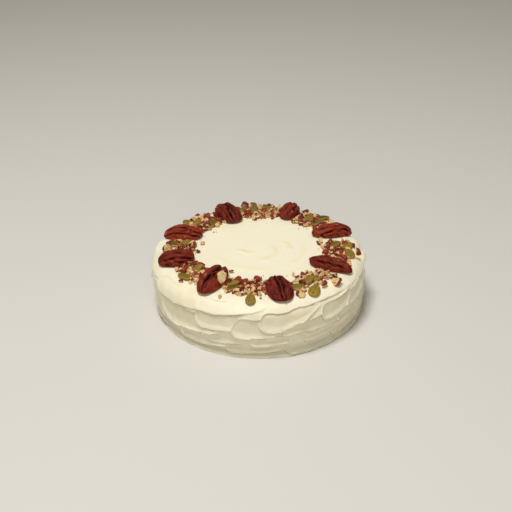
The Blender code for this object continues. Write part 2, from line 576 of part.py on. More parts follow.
def bit_solid(bit):
    """A chopped bit: a small lump with flat faces where the knife went through."""
    radius, angle, size, heading, flesh, number = bit
    draw = random.Random(1000 + number)
    shell = bmesh.new()
    bmesh.ops.create_icosphere(shell, subdivisions=1, radius=1)
    ball = np.array([v.co for v in shell.verts])
    tilt = draw.uniform(-12, 22)
    stretch = np.array([0.53, draw.uniform(0.40, 0.48), draw.uniform(0.36, 0.46)])
    lumps = np.ones(len(ball))
    for _ in range(5):
        wave = np.array([draw.gauss(0, 2.6) for _ in range(3)])
        lumps += 0.08 * np.sin(ball @ wave + draw.uniform(0, math.tau))
    shape = ball * lumps[:, None]
    for _ in range(round(2 + 3 * flesh)):
        knife = Vector((draw.gauss(0, 1), draw.gauss(0, 1), draw.gauss(0.5, 0.8)))
        if flesh < 0.3:
            knife = Vector((draw.gauss(0, 0.8), draw.gauss(0, 0.8), -0.6))
        knife = np.array(knife.normalized())
        beyond = np.clip(shape @ knife - draw.uniform(0.30, 0.70), 0, None)
        shape = shape - beyond[:, None] * knife
    for vertex, point in zip(shell.verts, shape * stretch * size * MM):
        vertex.co = point
    return topping("bit", shell, lying(radius, angle, heading, tilt, 0.24 * size), 1)


def topping(name, shell, place, slot):
    """Put a small shape in its place, in the collection that is fused to the icing."""
    bmesh.ops.recalc_face_normals(shell, faces=shell.faces)
    mesh = bpy.data.meshes.new(name)
    shell.to_mesh(mesh)
    shell.free()
    for material in (ICING, NUT, SEED):
        mesh.materials.append(material)
    for face in mesh.polygons:
        face.material_index = slot
    lump = bpy.data.objects.new(name, mesh)
    lump.matrix_world = place
    lump.hide_render = True
    lump.display_type = "WIRE"
    TOPPINGS.objects.link(lump)


def fuse_toppings(cake):
    """Join the toppings to the icing and drop any scrap or sealed hollow."""
    join = cake.modifiers.new("toppings", "BOOLEAN")
    join.operation = "UNION"
    join.operand_type = "COLLECTION"
    join.collection = TOPPINGS
    join.solver = "EXACT"
    bpy.context.view_layer.update()
    applied(cake)
    for lump in list(TOPPINGS.objects):
        bpy.data.objects.remove(lump)
    shell = bmesh.new()
    shell.from_mesh(cake.data)
    bmesh.ops.triangulate(shell, faces=shell.faces)
    bmesh.ops.remove_doubles(shell, verts=shell.verts, dist=0.01 * MM)
    keep = largest_island(shell)
    bmesh.ops.delete(shell, geom=[v for v in shell.verts if v not in keep], context="VERTS")
    shell.to_mesh(cake.data)
    shell.free()


def largest_island(shell):
    """The vertices of the largest connected piece of a mesh."""
    left, best = set(shell.verts), set()
    while left:
        front = [left.pop()]
        island = set(front)
        while front:
            for edge in front.pop().link_edges:
                for vertex in edge.verts:
                    if vertex in left:
                        left.remove(vertex)
                        island.add(vertex)
                        front.append(vertex)
        if len(island) > len(best):
            best = island
    return best


# ---- the model -------------------------------------------------------------------------------

def finish(name, colour, roughness):
    """A plain opaque material."""
    material = bpy.data.materials.new(name)
    material.use_nodes = True
    shader = material.node_tree.nodes["Principled BSDF"]
    shader.inputs["Base Color"].default_value = (*colour, 1)
    shader.inputs["Roughness"].default_value = roughness
    shader.inputs["Metallic"].default_value = 0
    return material


for old in list(bpy.data.objects):
    bpy.data.objects.remove(old)
PARTS = bpy.data.collections.new("pumpkin_cake")
TOPPINGS = bpy.data.collections.new("toppings")
bpy.context.scene.collection.children.link(PARTS)
bpy.context.scene.collection.children.link(TOPPINGS)
ICING = finish("cream_cheese_icing", (0.86, 0.80, 0.62), 0.5)
NUT = finish("chopped_pecan", (0.42, 0.20, 0.09), 0.6)
SEED = finish("pumpkin_seed", (0.24, 0.22, 0.05), 0.45)
PECAN = finish("pecan_skin", (0.16, 0.035, 0.018), 0.4)

frosted_cake = icing_blank()
work_icing(frosted_cake)
for kind in (ICING, NUT, SEED):
    frosted_cake.data.materials.append(kind)
for seed_spec in SEEDS:
    seed_solid(seed_spec)
for nut_bit in nut_bits():
    bit_solid(nut_bit)
fuse_toppings(frosted_cake)

for pecan_number, pecan_spec in enumerate(zip(PECANS, ENDS, FURROWS), start=1):
    pecan = pecan_half(pecan_number, pecan_spec, frosted_cake)
    pecan.data.materials.append(PECAN)
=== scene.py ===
"""Pumpkin cake: a low round cake under cream-cheese icing worked with a palette knife, ringed on
top with pecan halves, chopped pecans and pumpkin seeds. Metres, +Z up, -Y the front; angles run
anticlockwise from +X, seen from above."""
import math
import random

import bpy
import numpy as np
from mathutils import Matrix, Vector


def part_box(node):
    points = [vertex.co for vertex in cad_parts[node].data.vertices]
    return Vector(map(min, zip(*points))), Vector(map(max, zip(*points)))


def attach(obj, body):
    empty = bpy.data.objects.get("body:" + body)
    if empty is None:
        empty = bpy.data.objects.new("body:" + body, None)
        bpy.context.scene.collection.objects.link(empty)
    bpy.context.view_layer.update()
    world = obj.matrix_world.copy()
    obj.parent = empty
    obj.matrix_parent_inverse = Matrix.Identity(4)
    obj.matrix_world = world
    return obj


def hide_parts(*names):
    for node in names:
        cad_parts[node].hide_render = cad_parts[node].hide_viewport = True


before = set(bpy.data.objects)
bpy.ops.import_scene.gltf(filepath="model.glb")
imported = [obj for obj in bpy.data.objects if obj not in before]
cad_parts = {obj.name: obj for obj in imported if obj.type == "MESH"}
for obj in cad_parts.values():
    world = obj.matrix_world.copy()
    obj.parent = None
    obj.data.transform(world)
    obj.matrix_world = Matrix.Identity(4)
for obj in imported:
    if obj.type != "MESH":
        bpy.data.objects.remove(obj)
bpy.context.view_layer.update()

bpy.ops.object.select_all(action="DESELECT")

# ---- The iced cake ----------------------------------------------------------------------------
# A 6 inch pumpkin sponge under one coat of soft cream-cheese icing. The top is levelled and its
# edge rounded over with a palette knife; the side is worked in short strokes that overlap, each a
# shallow scoop with a round start and a lip pushed up along its lower edge.

# The smooth outline: the side tucks in over its lower part and swells a little, the shoulder is a
# quarter of an ellipse, and the top dips towards its middle.
MM = 0.001
CAKE_HEIGHT = 42.2 * MM
SIDE_RADIUS = 78.3 * MM
FOOT_TUCK = 2.2 * MM
TUCK_HEIGHT = 30 * MM
SIDE_BULGE = 0.3 * MM
SHOULDER_HEIGHT = 32 * MM
TOP_RADIUS = 66 * MM
SHOULDER_RUN = 16 * MM
TOP_DISH = 0.5 * MM
SHOULDER_RISE = CAKE_HEIGHT - SHOULDER_HEIGHT
SHOULDER_REACH = SIDE_RADIUS - TOP_RADIUS
# How finely the outline is turned and divided, before the flat stretches are thinned.
ICING_STEPS = 1320
SIDE_ROWS = 92
SHOULDER_ROWS = 38
TOP_ROWS = 50
ICING_TRIANGLES = 192000

# Strokes on the front, as in the solid: start angle and height of the stroke's middle, sweep in
# degrees, rise over the sweep, width, how much it narrows, and depth.
FRONT_STROKES = (
    (186.0, 8.0, 34, 1.5, 11.0, 0.40, 0.8),
    (183.0, 22.0, 36, 10.0, 20.0, 0.60, 0.9),
    (196.0, 15.0, 30, 5.0, 15.0, 0.45, 0.9),
    (224.0, 10.9, 36, 3.0, 11.6, 0.50, 1.3),
    (208.5, 21.2, 46, 5.0, 18.6, 0.60, 1.4),
    (204.0, 36.3, 40, 6.0, 14.0, 0.30, 0.6),
    (252.0, 8.6, 36, 2.0, 9.2, 0.40, 1.2),
    (265.0, 14.5, 26, 1.5, 9.4, 0.40, 1.4),
    (243.0, 13.9, 18, 2.0, 7.0, 0.30, 0.9),
    (235.3, 27.5, 27, 3.0, 14.6, 0.20, 1.1),
    (236.2, 38.2, 40, 8.0, 11.0, 0.40, 0.8),
    (256.0, 24.3, 34, 8.0, 16.4, 0.50, 1.3),
    (318.0, 4.5, 34, 1.0, 8.0, 0.40, 1.2),
    (283.5, 9.2, 42, 3.5, 15.0, 0.45, 1.3),
    (310.0, 11.5, 30, 1.0, 8.0, 0.40, 1.4),
    (293.0, 13.6, 24, 1.0, 7.0, 0.40, 1.2),
    (280.5, 23.0, 44, -1.0, 9.6, 0.10, 1.1),
    (333.0, 12.0, 34, 2.0, 9.0, 0.40, 1.4),
    (314.0, 20.0, 32, 1.0, 9.2, 0.30, 1.5),
    (326.0, 16.0, 26, 3.0, 6.0, 0.40, 1.2),
    (338.0, 21.0, 30, 3.0, 10.0, 0.40, 1.4),
    (278.0, 31.0, 50, 12.0, 10.0, 0.50, 1.0),
    (269.8, 29.5, 30, 9.0, 15.6, 0.90, 1.3),
    (347.0, 30.0, 30, 4.0, 11.0, 0.50, 1.3),
    (319.0, 29.5, 26, 4.0, 10.4, 0.40, 1.3),
    (294.0, 44.0, 46, -1.0, 12.0, 0.20, 0.45),
    (302.4, 28.9, 23, 5.0, 13.0, 0.55, 1.3),
)
# Height and width of each row of strokes round the back, and the angle where the rows stop.
BACK_ROWS = ((6, 9), (14, 10), (21, 12), (28.5, 14))
BACK_ENDS_AT = 190
STROKE_SEED = 7
# A stroke bends upwards more and more, and fades over the last share of its length. Its face lies
# at a share of its depth and leans, deepest along the top.
STROKE_BEND = 1.8
FADES_AFTER = 0.65
FADES_OVER = 0.35
FACE_DEPTH = 0.45
FACE_LEAN = 0.25
# A stroke's edge slopes over this many millimetres at the bottom and this many more at the top.
# Its lip drops off over the face outside the edge and the back inside it, is this share of the
# stroke's depth high, and fades over the last share of the stroke.
EDGE_SLOPE = 0.5
UPPER_SLOPE = 0.9
LIP_FACE = 0.25
LIP_BACK = 2.6
LIP_HEIGHT = 0.95
LIP_FADE = 0.4
# The foot stands further out on one side, with a bead of icing pressed out along the bottom.
FOOT_LEAN = 0.9
LEANS_TO = 315
LEAN_ENDS = 28
FOOT_BEAD = 0.5
BEAD_HEIGHT = 0.8
BEAD_WIDTH = 1.5
# How far the strokes' edges wander and how uneven the icing is, up to a height and fading over the
# next millimetres. The strokes themselves fade over the lowest ones.
WANDER = 0.6
SLACK = 0.12
WAVES = 9
SIDE_ENDS = 44
SIDE_FADE = 8
FOOT_FADE = 2
# Soft flaps left standing at the rim: angle, height, half width in degrees, half height and stand.
EARS = ((358, 37.5, 4.5, 3.6, 2.6), (13.5, 38.5, 6.0, 3.4, 1.5), (169, 38.0, 6.0, 3.4, 1.8),
        (182, 28, 30, 9, 1.1))


def smooth(x):
    """0 below 0, 1 above 1, and a smooth step between."""
    x = np.clip(x, 0, 1)
    return x * x * (3 - 2 * x)


def icing_profile(run):
    """Radius, height and outward normal of the smooth icing, run metres up from the foot."""
    turn = np.clip((run - SHOULDER_HEIGHT) / SHOULDER_RUN, 0, 1) * math.pi / 2
    up = np.clip(run, 0, SHOULDER_HEIGHT)
    inward = np.clip(run - SHOULDER_HEIGHT - SHOULDER_RUN, 0, TOP_RADIUS)
    tuck = FOOT_TUCK * (1 - smooth(run / TUCK_HEIGHT))
    bulge = SIDE_BULGE * np.sin(up / SHOULDER_HEIGHT * math.pi)
    radius = TOP_RADIUS + SHOULDER_REACH * np.cos(turn) - inward - tuck + bulge
    dish = TOP_DISH * (1 - ((TOP_RADIUS - inward) / TOP_RADIUS) ** 2)
    height = up + SHOULDER_RISE * np.sin(turn) - dish
    out, rise = np.cos(turn) * SHOULDER_RISE, np.sin(turn) * SHOULDER_REACH
    size = np.hypot(out, rise)
    return radius, height, out / size, rise / size


def run_of(radius, height):
    """How far up from the foot a point of the smooth icing lies."""
    turn = np.arctan2((height - SHOULDER_HEIGHT) / SHOULDER_RISE,
                      np.clip(radius - TOP_RADIUS, 0, None) / SHOULDER_REACH)
    shoulder = SHOULDER_HEIGHT + SHOULDER_RUN * turn / (math.pi / 2)
    top = SHOULDER_HEIGHT + SHOULDER_RUN + TOP_RADIUS - radius
    return np.where(height < SHOULDER_HEIGHT, height, np.where(radius > TOP_RADIUS, shoulder, top))


def waver(angle, up, wave, seed):
    """Smooth noise round the icing, about -1 to 1, its waves about this many millimetres long."""
    draw = random.Random(seed)
    total = np.zeros_like(up)
    for _ in range(WAVES):
        heading, length = draw.uniform(0, math.pi), wave * draw.uniform(0.75, 1.4)
        turns = round(math.tau * SIDE_RADIUS / MM / length * math.cos(heading))
        climb = math.tau / length * math.sin(heading)
        total += np.sin(np.radians(angle) * turns + up * climb + draw.uniform(0, math.tau))
    return total * math.sqrt(2 / WAVES) / 1.6


def lay_stroke(depth_so_far, angle, up, stroke):
    """The icing after one more stroke. Angles in degrees, the rest in millimetres."""
    start, height, sweep, rise, width, narrow, depth = stroke
    per_degree = SIDE_RADIUS / MM * math.pi / 180
    length = sweep * per_degree
    widest = width / 2
    along = ((angle - start + 180) % 360 - 180) * per_degree - 0.9 * widest
    share = np.clip(along / length, 0, 1)
    bend = share ** STROKE_BEND
    half = widest * (1 - narrow * bend)
    across = up - (height + rise * bend)
    beyond = np.where(along < 0, -along, np.clip(along - length, 0, None))
    edge = np.hypot(beyond * 1.1, across) - half
    low = smooth(0.5 - across / (1.3 * half))
    slope = EDGE_SLOPE + UPPER_SLOPE * (1 - low)
    pressed = smooth(-edge / slope) * (1 - smooth((share - FADES_AFTER) / FADES_OVER))
    face = -depth * (FACE_DEPTH + FACE_LEAN * across / half)
    crest = np.exp(-(edge / np.where(edge > 0, LIP_FACE, LIP_BACK * (0.4 + 0.6 * low))) ** 2)
    lip = crest * (0.25 + 0.75 * low) * smooth((1 - share) / LIP_FADE)
    return depth_so_far * (1 - pressed) + face * pressed + LIP_HEIGHT * depth * lip


def all_strokes():
    """The rows of strokes round the back, then the ones on the front."""
    draw = random.Random(STROKE_SEED)
    strokes = []
    for height, width in BACK_ROWS:
        start = draw.uniform(-14, 4)
        while start < BACK_ENDS_AT:
            sweep = draw.uniform(20, 34)
            strokes.append((start % 360, height + draw.uniform(-2, 2), sweep, draw.uniform(0.5, 6.5),
                            width * draw.uniform(0.75, 1.1), draw.uniform(0.2, 0.65),
                            draw.uniform(0.8, 1.3)))
            start += sweep * draw.uniform(0.55, 0.85)
    return strokes + list(FRONT_STROKES)


def icing_relief(angle, up):
    """How far the worked icing stands out from the smooth one, in millimetres."""
    on_side = 1 - smooth((up - SIDE_ENDS) / SIDE_FADE)
    around = angle + WANDER * waver(angle, up, 16, 1) * on_side
    above = up + WANDER * (waver(angle, up, 16, 2) + 0.3 * waver(angle, up, 5, 3)) * on_side
    relief = np.zeros_like(up)
    for stroke in all_strokes():
        relief = lay_stroke(relief, around, above, stroke)
    relief *= smooth(up / FOOT_FADE)
    relief += FOOT_LEAN * np.cos(np.radians(angle - LEANS_TO)) * (1 - smooth(up / LEAN_ENDS))
    relief += SLACK * waver(angle, up, 12, 4) * on_side
    bead = FOOT_BEAD * np.exp(-((up - BEAD_HEIGHT) / BEAD_WIDTH) ** 2)
    relief += bead * (1 + 0.6 * waver(angle, up, 7, 5))
    for ear_angle, ear_up, wide, tall, stand in EARS:
        off = (angle - ear_angle + 180) % 360 - 180
        relief += stand * np.exp(-(off / wide) ** 4 - ((up - ear_up) / tall) ** 2)
    return relief


# Where the knife turned on the top it left low arcs: middle, radius, the angles each runs
# between, its height and the width of its slope, in millimetres and degrees. They fade out towards
# the shoulder, and the top is a little uneven between them.
TOP_FADE = 14 * MM
TOP_UNEVEN = 0.12
ARC_FACE = 0.7
TOP_ARCS = (
    (0.0, -3.0, 13.0, -100, 50, 0.75, 3.0),
    (2.0, 0.0, 22.0, -5, 45, 0.60, 3.5),
    (-3.0, 3.3, 10.6, 187, 261, 0.55, 2.5),
    (-4.0, 12.0, 17.0, 215, 290, 0.45, 3.0),
    (0.0, 4.0, 34.0, 200, 300, 0.35, 5.0),
    (3.0, 2.0, 31.0, -60, 20, 0.40, 4.0),
    (-2.0, 6.0, 40.0, 60, 170, 0.30, 6.0),
)


def top_arcs(x, y):
    """How far the arcs on the top stand up, in millimetres."""
    total = np.zeros_like(x)
    for middle_x, middle_y, radius, start, end, height, slope in TOP_ARCS:
        reach = np.hypot(x - middle_x, y - middle_y) - radius
        turn = (np.degrees(np.arctan2(y - middle_y, x - middle_x)) - start) % 360
        share = np.clip(turn / (end - start), 0, 1)
        step = np.exp(-(reach / np.where(reach > 0, ARC_FACE, slope)) ** 2)
        total += height * step * smooth(share / 0.25) * smooth((1 - share) / 0.35)
    return total


side = np.linspace(0, SHOULDER_HEIGHT, SIDE_ROWS, endpoint=False)
shoulder = SHOULDER_HEIGHT + np.linspace(0, SHOULDER_RUN, SHOULDER_ROWS, endpoint=False)
top = SHOULDER_HEIGHT + SHOULDER_RUN + np.linspace(0, TOP_RADIUS, TOP_ROWS)
profile_radius, profile_height, _, _ = icing_profile(np.concatenate([side, shoulder, top]))
bpy.ops.mesh.primitive_plane_add(size=MM)
icing = bpy.context.object
icing.name = icing.data.name = "cream_cheese_icing"
bpy.ops.object.mode_set(mode="EDIT")
bpy.ops.mesh.merge(type="CENTER")
reached = Vector((0, 0, profile_height[-1]))
bpy.ops.transform.translate(value=reached)
for radius, height in zip(profile_radius[-2::-1], profile_height[-2::-1]):
    point = Vector((radius, 0, height))
    bpy.ops.mesh.extrude_vertices_move(TRANSFORM_OT_translate={"value": point - reached})
    reached = point
bpy.ops.mesh.extrude_vertices_move(TRANSFORM_OT_translate={"value": -reached})
bpy.ops.object.mode_set(mode="OBJECT")
turning = icing.modifiers.new("turned", "SCREW")
turning.steps = turning.render_steps = ICING_STEPS
turning.use_merge_vertices = True
turning.merge_threshold = 0.000005
bpy.ops.object.modifier_apply(modifier="turned")


def points_of(mesh):
    """A mesh's points as an array."""
    flat = np.empty(len(mesh.vertices) * 3)
    mesh.vertices.foreach_get("co", flat)
    return flat.reshape(-1, 3)


def set_points(mesh, points):
    """Move a mesh's points."""
    mesh.vertices.foreach_set("co", points.ravel())
    mesh.update()


points = points_of(icing.data)
radius = np.hypot(points[:, 0], points[:, 1])
angle = np.degrees(np.arctan2(points[:, 1], points[:, 0]))
run = run_of(radius, points[:, 2])
_, _, out, rise = icing_profile(run)
stand = icing_relief(angle, run / MM) * MM
x, y = points[:, 0] / MM, points[:, 1] / MM
uneven = TOP_UNEVEN * np.sin(x / 9 + 1.5 * np.sin(y / 13)) * np.sin(y / 7 + 1)
swirl = (top_arcs(x, y) + uneven) * MM
inward = smooth((TOP_RADIUS - radius) / TOP_FADE) * (points[:, 2] > SHOULDER_HEIGHT)
points[:, 0] += stand * out * np.cos(np.radians(angle))
points[:, 1] += stand * out * np.sin(np.radians(angle))
points[:, 2] += stand * rise + swirl * inward
set_points(icing.data, points)
thinning = icing.modifiers.new("thinned", "DECIMATE")
thinning.ratio = ICING_TRIANGLES / (2 * len(icing.data.polygons))
bpy.ops.object.modifier_apply(modifier="thinned")
icing.data.shade_smooth()

# What the finish reads at each point: how deep it lies in a stroke, for painted shade in the
# recesses; how far the icing just above stands out over it as in a crease, for a painted shadow
# under the lips; how near it is to an arc on the top; and how near it is to the foot, for painted
# shade over the foot that rises above the bead along the bottom and fades higher up the side.
CREASE_REACH = 0.8
CREASES_END = SHOULDER_HEIGHT + SHOULDER_RUN * 0.7
# Painted shade over the foot: it rises over the lowest millimetres, above the bead, then fades out
# higher up the side.
FOOT_SHADE_RISE = 4 * MM
FOOT_SHADE_UP_TO = 2
FOOT_SHADE_FADE = 10
points = points_of(icing.data)
run = run_of(np.hypot(points[:, 0], points[:, 1]), points[:, 2])
angle = np.degrees(np.arctan2(points[:, 1], points[:, 0]))
sunk = -icing_relief(angle, run / MM)
above = icing_relief(angle, run / MM + CREASE_REACH)


def write_attribute(mesh, name, values, domain="POINT"):
    """Keep a number on each point or face for the material to read."""
    layer = mesh.attributes.new(name, "FLOAT", domain)
    layer.data.foreach_set("value", np.asarray(values, dtype=np.float32))


# The sunk share is where the finish paints shade into the strokes' recesses.
write_attribute(icing.data, "sunk", smooth((sunk + 0.2) / 1.2))
# The crease share is where the finish paints the shadow under each lip, by how far the icing above
# stands out.
write_attribute(icing.data, "crease", smooth((above + sunk - 0.15) / 0.9) * (run < CREASES_END))
smear = top_arcs(points[:, 0] / MM, points[:, 1] / MM) * (run > SHOULDER_HEIGHT + SHOULDER_RUN)
write_attribute(icing.data, "smear", smooth(smear / 0.6))
# The painted shade over the foot, none at the very bottom, full a little above it, fading higher up.
foot_shade_fade = 1 - smooth((run / MM - FOOT_SHADE_UP_TO) / FOOT_SHADE_FADE)
write_attribute(icing.data, "foot_shade", smooth(run / FOOT_SHADE_RISE) * foot_shade_fade)


class Level:
    """What varies over a finish, as the output of one of its nodes. Sums on it add Math nodes."""

    def __init__(self, socket):
        self.socket = socket

    @property
    def tree(self):
        return self.socket.id_data

    @classmethod
    def of(cls, tree, kind, settings, values, output=0):
        """A new node's output: its settings are set first, then its sockets' values or links."""
        node = tree.nodes.new(kind)
        for name, setting in settings.items():
            setattr(node, name, setting)
        for name, value in values.items():
            if isinstance(value, cls):
                tree.links.new(value.socket, node.inputs[name])
            else:
                node.inputs[name].default_value = value
        return cls(node.outputs[output])

    def math(self, operation, *values):
        return Level.of(self.tree, "ShaderNodeMath", {"operation": operation},
                        dict(enumerate(values)))

    def __add__(self, other):
        return self.math("ADD", self, other)

    def __radd__(self, other):
        return self.math("ADD", other, self)

    def __sub__(self, other):
        return self.math("SUBTRACT", self, other)

    def __rsub__(self, other):
        return self.math("SUBTRACT", other, self)

    def __mul__(self, other):
        return self.math("MULTIPLY", self, other)

    def __rmul__(self, other):
        return self.math("MULTIPLY", other, self)


def tone(red, green, blue):
    """A display colour, 0 to 255, as the linear colour that materials take."""
    return tuple(((c / 255 + 0.055) / 1.055) ** 2.4 if c > 10 else c / 3294.6
                 for c in (red, green, blue)) + (1,)


def kept(tree, name):
    """The number that the mesh keeps under a name."""
    return Level.of(tree, "ShaderNodeAttribute", {"attribute_name": name}, {}, output=2)


def mixed(share, first, second):
    """A colour between two, by share."""
    return Level.of(share.tree, "ShaderNodeMix", {"data_type": "RGBA"},
                    {0: share, 6: first, 7: second}, output=2)


def speckle(where, scale, detail=2.0, stretch=(1, 1, 1)):
    """Noise between 0 and 1 on a position, finer along the axes with more stretch."""
    turned = Level.of(where.tree, "ShaderNodeMapping", {}, {"Vector": where, "Scale": stretch})
    return Level.of(where.tree, "ShaderNodeTexNoise", {},
                    {"Vector": turned, "Scale": scale, "Detail": detail})


def between(level, low, high):
    """0 where a level is under low, 1 over high, and in step between."""
    return Level.of(level.tree, "ShaderNodeMapRange", {"interpolation_type": "SMOOTHSTEP"},
                    {0: level, 1: low, 2: high, 3: 0.0, 4: 1.0})


def begin_finish(name, roughness, **constants):
    """A new material: its tree, its shader and the object position."""
    material = bpy.data.materials.new(name)
    material.use_nodes = True
    tree = material.node_tree
    shader = tree.nodes["Principled BSDF"]
    shader.inputs["Roughness"].default_value = roughness
    for socket, value in constants.items():
        shader.inputs[socket.replace("_", " ")].default_value = value
    where = Level.of(tree, "ShaderNodeTexCoord", {}, {}, output=3)
    return material, tree, shader, where


def feed(shader, socket, level):
    """Link a level to the shader."""
    shader.id_data.links.new(level.socket, shader.inputs[socket])


def feed_bump(shader, height, distance):
    """Link a height, in shares of a distance, to the shader's normal."""
    bump = Level.of(shader.id_data, "ShaderNodeBump", {},
                    {"Strength": 1.0, "Distance": distance, "Height": height})
    feed(shader, "Normal", bump)


ICING_CREAM = tone(245, 238, 214)
ICING_WARM = tone(241, 230, 194)
# A warmer, darker cream, painted as shade into the strokes' recesses.
ICING_RECESS_SHADE = tone(233, 219, 178)
# A dark tan, painted as the shadow under the strokes' lips.
ICING_LIP_SHADOW = tone(190, 170, 118)
ICING_SMEAR = tone(240, 226, 168)
# A grey tan, painted as shade over the foot of the side.
ICING_FOOT_SHADE = tone(182, 175, 150)
icing_finish, tree, shader, where = begin_finish(
    "cream_cheese_icing", 0.5, Subsurface_Weight=0.12, Subsurface_Radius=(1.0, 0.75, 0.45),
    Subsurface_Scale=0.001, Specular_IOR_Level=0.35)
patches = between(speckle(where, 28.0), 0.52, 0.75)
cream = mixed(patches * 0.5, ICING_CREAM, ICING_WARM)
# Painted shade: the icing turns warmer and darker where it lies deep in a stroke.
cream = mixed(kept(tree, "sunk") * 0.28, cream, ICING_RECESS_SHADE)
cream = mixed(kept(tree, "smear") * 0.45, cream, ICING_SMEAR)
# Painted shade: the icing darkens over the foot.
cream = mixed(kept(tree, "foot_shade") * 0.7, cream, ICING_FOOT_SHADE)
# Painted shadow: the icing darkens under each lip, by how far the icing just above stands out.
feed(shader, "Base Color", mixed(kept(tree, "crease") * 0.85, cream, ICING_LIP_SHADOW))
drag = speckle(where, 260.0, 3.0, (0.35, 0.35, 2.2))
pores = speckle(where, 900.0, 1.0)
feed(shader, "Roughness", 0.46 + drag * 0.14)
feed_bump(shader, drag * 0.7 + pores * 0.3, 0.00025)
icing.data.materials.append(icing_finish)
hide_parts("frosted_cake")
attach(icing, "root")

# ---- The pecan halves -------------------------------------------------------------------------
# Eight roasted pecan halves laid flat side down round the edge, pointing outwards and sagging
# with the shoulder. Deep furrows run along each and part it into rounded, wrinkled lobes. The
# skin is a dull mahogany, rubbed redder on the crests, with painted shade darkening the furrows,
# folds and creases to nearly black.

# Angle and radius of each half's middle, heading of its outer end, length, width, thickness, how
# much it narrows outwards, its bow, and how far the lobes part at the inner and the outer end.
PECANS = (
    (112.9, 61.0, 115.0, 33.2, 17.6, 8.4, 0.05, 0.00, 0.00, 0.08),
    (66.2, 62.8, 70.0, 25.2, 14.8, 8.2, -0.02, 0.00, 0.00, 0.00),
    (23.6, 61.2, 15.0, 31.8, 16.2, 7.4, -0.20, -0.03, 0.00, 0.03),
    (333.0, 57.7, 334.4, 32.2, 14.0, 7.3, 0.06, 0.00, -0.05, 0.00),
    (283.4, 59.8, 284.0, 26.9, 18.0, 9.0, -0.08, -0.01, 0.05, -0.07),
    (235.3, 56.3, 246.0, 32.8, 17.0, 9.5, 0.04, 0.01, 0.15, 0.00),
    (194.2, 61.3, 188.0, 26.6, 18.2, 7.9, 0.00, 0.08, 0.00, 0.10),
    (158.1, 61.5, 171.0, 29.9, 18.6, 7.5, 0.01, 0.01, 0.15, 0.00),
)
# How much of their depth the furrows keep at the inner and the outer end of each, and how blunt
# its ends are.
ENDS = ((0.8, 0.8, 0.37), (0.7, 0.3, 0.42), (0.3, 0.5, 0.42), (0.3, 0.2, 0.44), (0.4, 1.0, 0.37),
        (0.9, 0.5, 0.37), (0.3, 0.8, 0.40), (0.9, 0.3, 0.42))
# The furrows of each: place round the crown (1 the left edge, -1 the right), how far that shifts
# to the right towards the inner end, width and depth. The lobes part at the first.
FURROWS = (
    ((0.05, -0.30, 0.065, 0.40), (-0.10, 0.00, 0.070, 0.40), (0.50, 0.00, 0.09, 0.16),
     (-0.50, 0.00, 0.08, 0.12)),
    ((0.02, -0.45, 0.055, 0.24), (-0.45, -0.28, 0.060, 0.22), (0.45, -0.20, 0.05, 0.10)),
    ((-0.50, 0.40, 0.085, 0.28), (-0.16, 0.00, 0.065, 0.26), (0.30, 0.00, 0.08, 0.22),
     (-0.82, 0.20, 0.07, 0.14)),
    ((-0.08, 0.00, 0.080, 0.22), (-0.50, -0.10, 0.080, 0.24), (0.33, 0.00, 0.08, 0.20)),
    ((0.13, 0.00, 0.090, 0.44), (-0.13, 0.00, 0.065, 0.40), (-0.47, 0.05, 0.06, 0.14),
     (0.52, 0.00, 0.06, 0.09)),
    ((0.00, -0.05, 0.085, 0.46), (0.19, 0.00, 0.065, 0.38), (-0.50, 0.00, 0.07, 0.12)),
    ((0.48, -0.05, 0.080, 0.30), (0.08, -0.02, 0.060, 0.28), (-0.35, 0.00, 0.08, 0.20),
     (0.80, 0.00, 0.07, 0.14)),
    ((0.08, -0.22, 0.070, 0.40), (0.59, 0.00, 0.080, 0.30), (-0.35, 0.00, 0.08, 0.20),
     (0.33, -0.10, 0.055, 0.10)),
)
PECAN_SEGMENTS = 128
PECAN_RINGS = 84
# How far a half follows the shoulder down where it reaches past the flat top.
PECAN_SAG = 2.5 * MM
# Shares of the thickness: the folds across the furrows, the fine creases and the level they start
# from, the upright edge of the sole and the rise of the tips. The notch where the lobes part is
# this wide round the crown.
FOLD_DEPTH = 0.035
CREASES = 5
CREASE_LEVEL = 0.64
CREASE_DEPTH = 0.12
SOLE = 0.08
TIP_RISE = 0.2
NOTCH_WIDTH = 0.16


